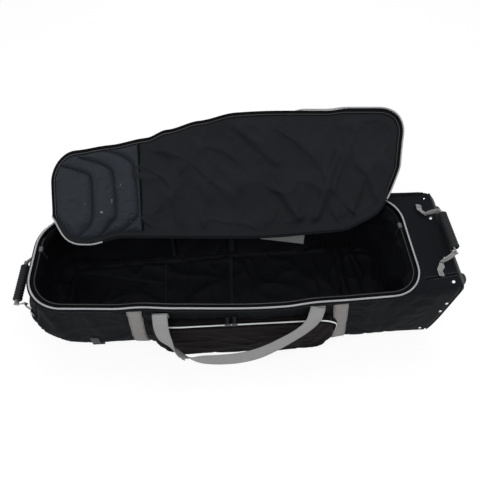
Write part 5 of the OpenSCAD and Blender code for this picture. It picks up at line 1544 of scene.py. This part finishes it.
# Seam across the deck, with a row of stitches on each side
DECK_SEAM_Y = -0.115
hits = [surface_near((x, DECK_SEAM_Y, DECK_TOP + 0.08), (0, 0, -1), 0.2)
        for x in np.linspace(DECK_X + 0.010, CAP_X - 0.006, 44)]
hits = [hit for hit in hits if hit[0] is not None]
seam_path = np.array([point for point, _ in hits])
seam_up = unit(np.array([normal * np.sign(normal[2]) for _, normal in hits]))
deck_seam = sweep("deck_seam", seam_path + seam_up * 0.0004, seam_up, flat_section(0.0030, 0.0012))
finish(deck_seam, TAPE, "bag", "body_cloth")
for d in (-1, 1):
    stitches(f"deck_stitches_{int(d > 0)}", seam_path + seam_up * 0.0003 + [0, d * 0.0045, 0], seam_up,
             THREAD, "bag", "body_cloth")


# ---- Pulls ----

def pull(name, node, body, material):
    """Looped pull tape in the place of its plain solid."""
    co = np.array([v.co for v in frame["nodes"][node].data.vertices])
    c = co.mean(0)
    _, _, axes = np.linalg.svd(co - c)
    ranges = [(co - c) @ a for a in axes]
    sizes = [r.max() - r.min() for r in ranges]
    long, thin = axes[0], axes[2]
    start, end = c + long * ranges[0].min(), c + long * ranges[0].max()
    t = np.linspace(0, 1, 24)[:, None]
    path = lerp(start, end, t) + thin * 0.0008 * np.sin(t * 5)
    obj = sweep(name, path, thin, flat_section(sizes[1] * 0.94, max(0.0012, sizes[2] * 0.7), 0.0003))
    finish(obj, material, body, "zipper_tape", node)


for k in ("left", "right"):
    pull(f"main_pull_tape_{k}", f"main_pull_{k}", f"main_slider_{k}", MESH)
    pull(f"pocket_pull_tape_{k}", f"pocket_pull_{k}", f"pocket_slider_{k}", MESH)


# ---- Floor, backdrop and light ----

def stage():
    size = 9.0
    floor = mesh_object("floor", [(-size, -size, 0), (size, -size, 0), (size, size, 0), (-size, size, 0)],
                        [(0, 1, 2, 3)], smooth_shade=False)
    material = bpy.data.materials.new("floor_white")
    material.use_nodes = True
    net = Net(material)
    shader = material.node_tree.nodes["Principled BSDF"]
    shader.inputs["Roughness"].default_value = 0.9
    shader.inputs["Specular IOR Level"].default_value = 0.1
    shader.inputs["Base Color"].default_value = (0.93, 0.93, 0.93, 1)
    place = net.add("ShaderNodeTexCoord").outputs["Object"]
    grain = net.noise(place, 60.0, 2.0)
    net.put(shader.inputs["Normal"], net.bump(grain, 0.05, 0.001))
    # Seen directly, most of the floor's white comes from a light of its own, and the rest carries the shadow
    ray = net.add("ShaderNodeLightPath").outputs["Is Camera Ray"]
    glow = net.add("ShaderNodeEmission", {"Color": (1, 1, 1, 1), "Strength": 1.05}).outputs[0]
    both = net.add("ShaderNodeMixShader", {0: net.maths("MULTIPLY", ray, 0.82)})
    net.put(both.inputs[1], shader.outputs[0])
    net.put(both.inputs[2], glow)
    net.put(material.node_tree.nodes["Material Output"].inputs["Surface"], both.outputs[0])
    floor.data.materials.append(material)
    world = bpy.data.worlds.new("studio")
    bpy.context.scene.world = world
    world.use_nodes = True
    sky = Net(world)
    back = sky.tree.nodes["Background"]
    # The sky looks white and lights the bag with less
    path = sky.add("ShaderNodeLightPath").outputs
    seen = sky.maths("MAXIMUM", path["Is Camera Ray"], path["Is Glossy Ray"])
    power = sky.add("ShaderNodeMapRange", {"Value": seen, "To Min": 0.42, "To Max": 1.0})
    sky.put(back.inputs["Strength"], power.outputs[0])
    back.inputs["Color"].default_value = (1, 1, 1, 1)
    for name, at, power_w, width, target in (
            ("key", (-1.2, -1.6, 2.6), 38, 1.8, (0, 0, 0.15)),
            ("fill", (1.9, -1.0, 1.9), 15, 1.6, (0, 0, 0.2)),
            ("top", (0.2, 1.2, 2.7), 24, 1.6, (0, 0.1, 0.2))):
        data = bpy.data.lights.new(name, "AREA")
        data.energy = power_w
        data.size = width
        light = bpy.data.objects.new(name, data)
        bpy.context.scene.collection.objects.link(light)
        light.location = at
        light.rotation_euler = (Vector(target) - Vector(at)).to_track_quat("-Z", "Y").to_euler()


stage()
bpy.context.scene.view_settings.view_transform = "Standard"
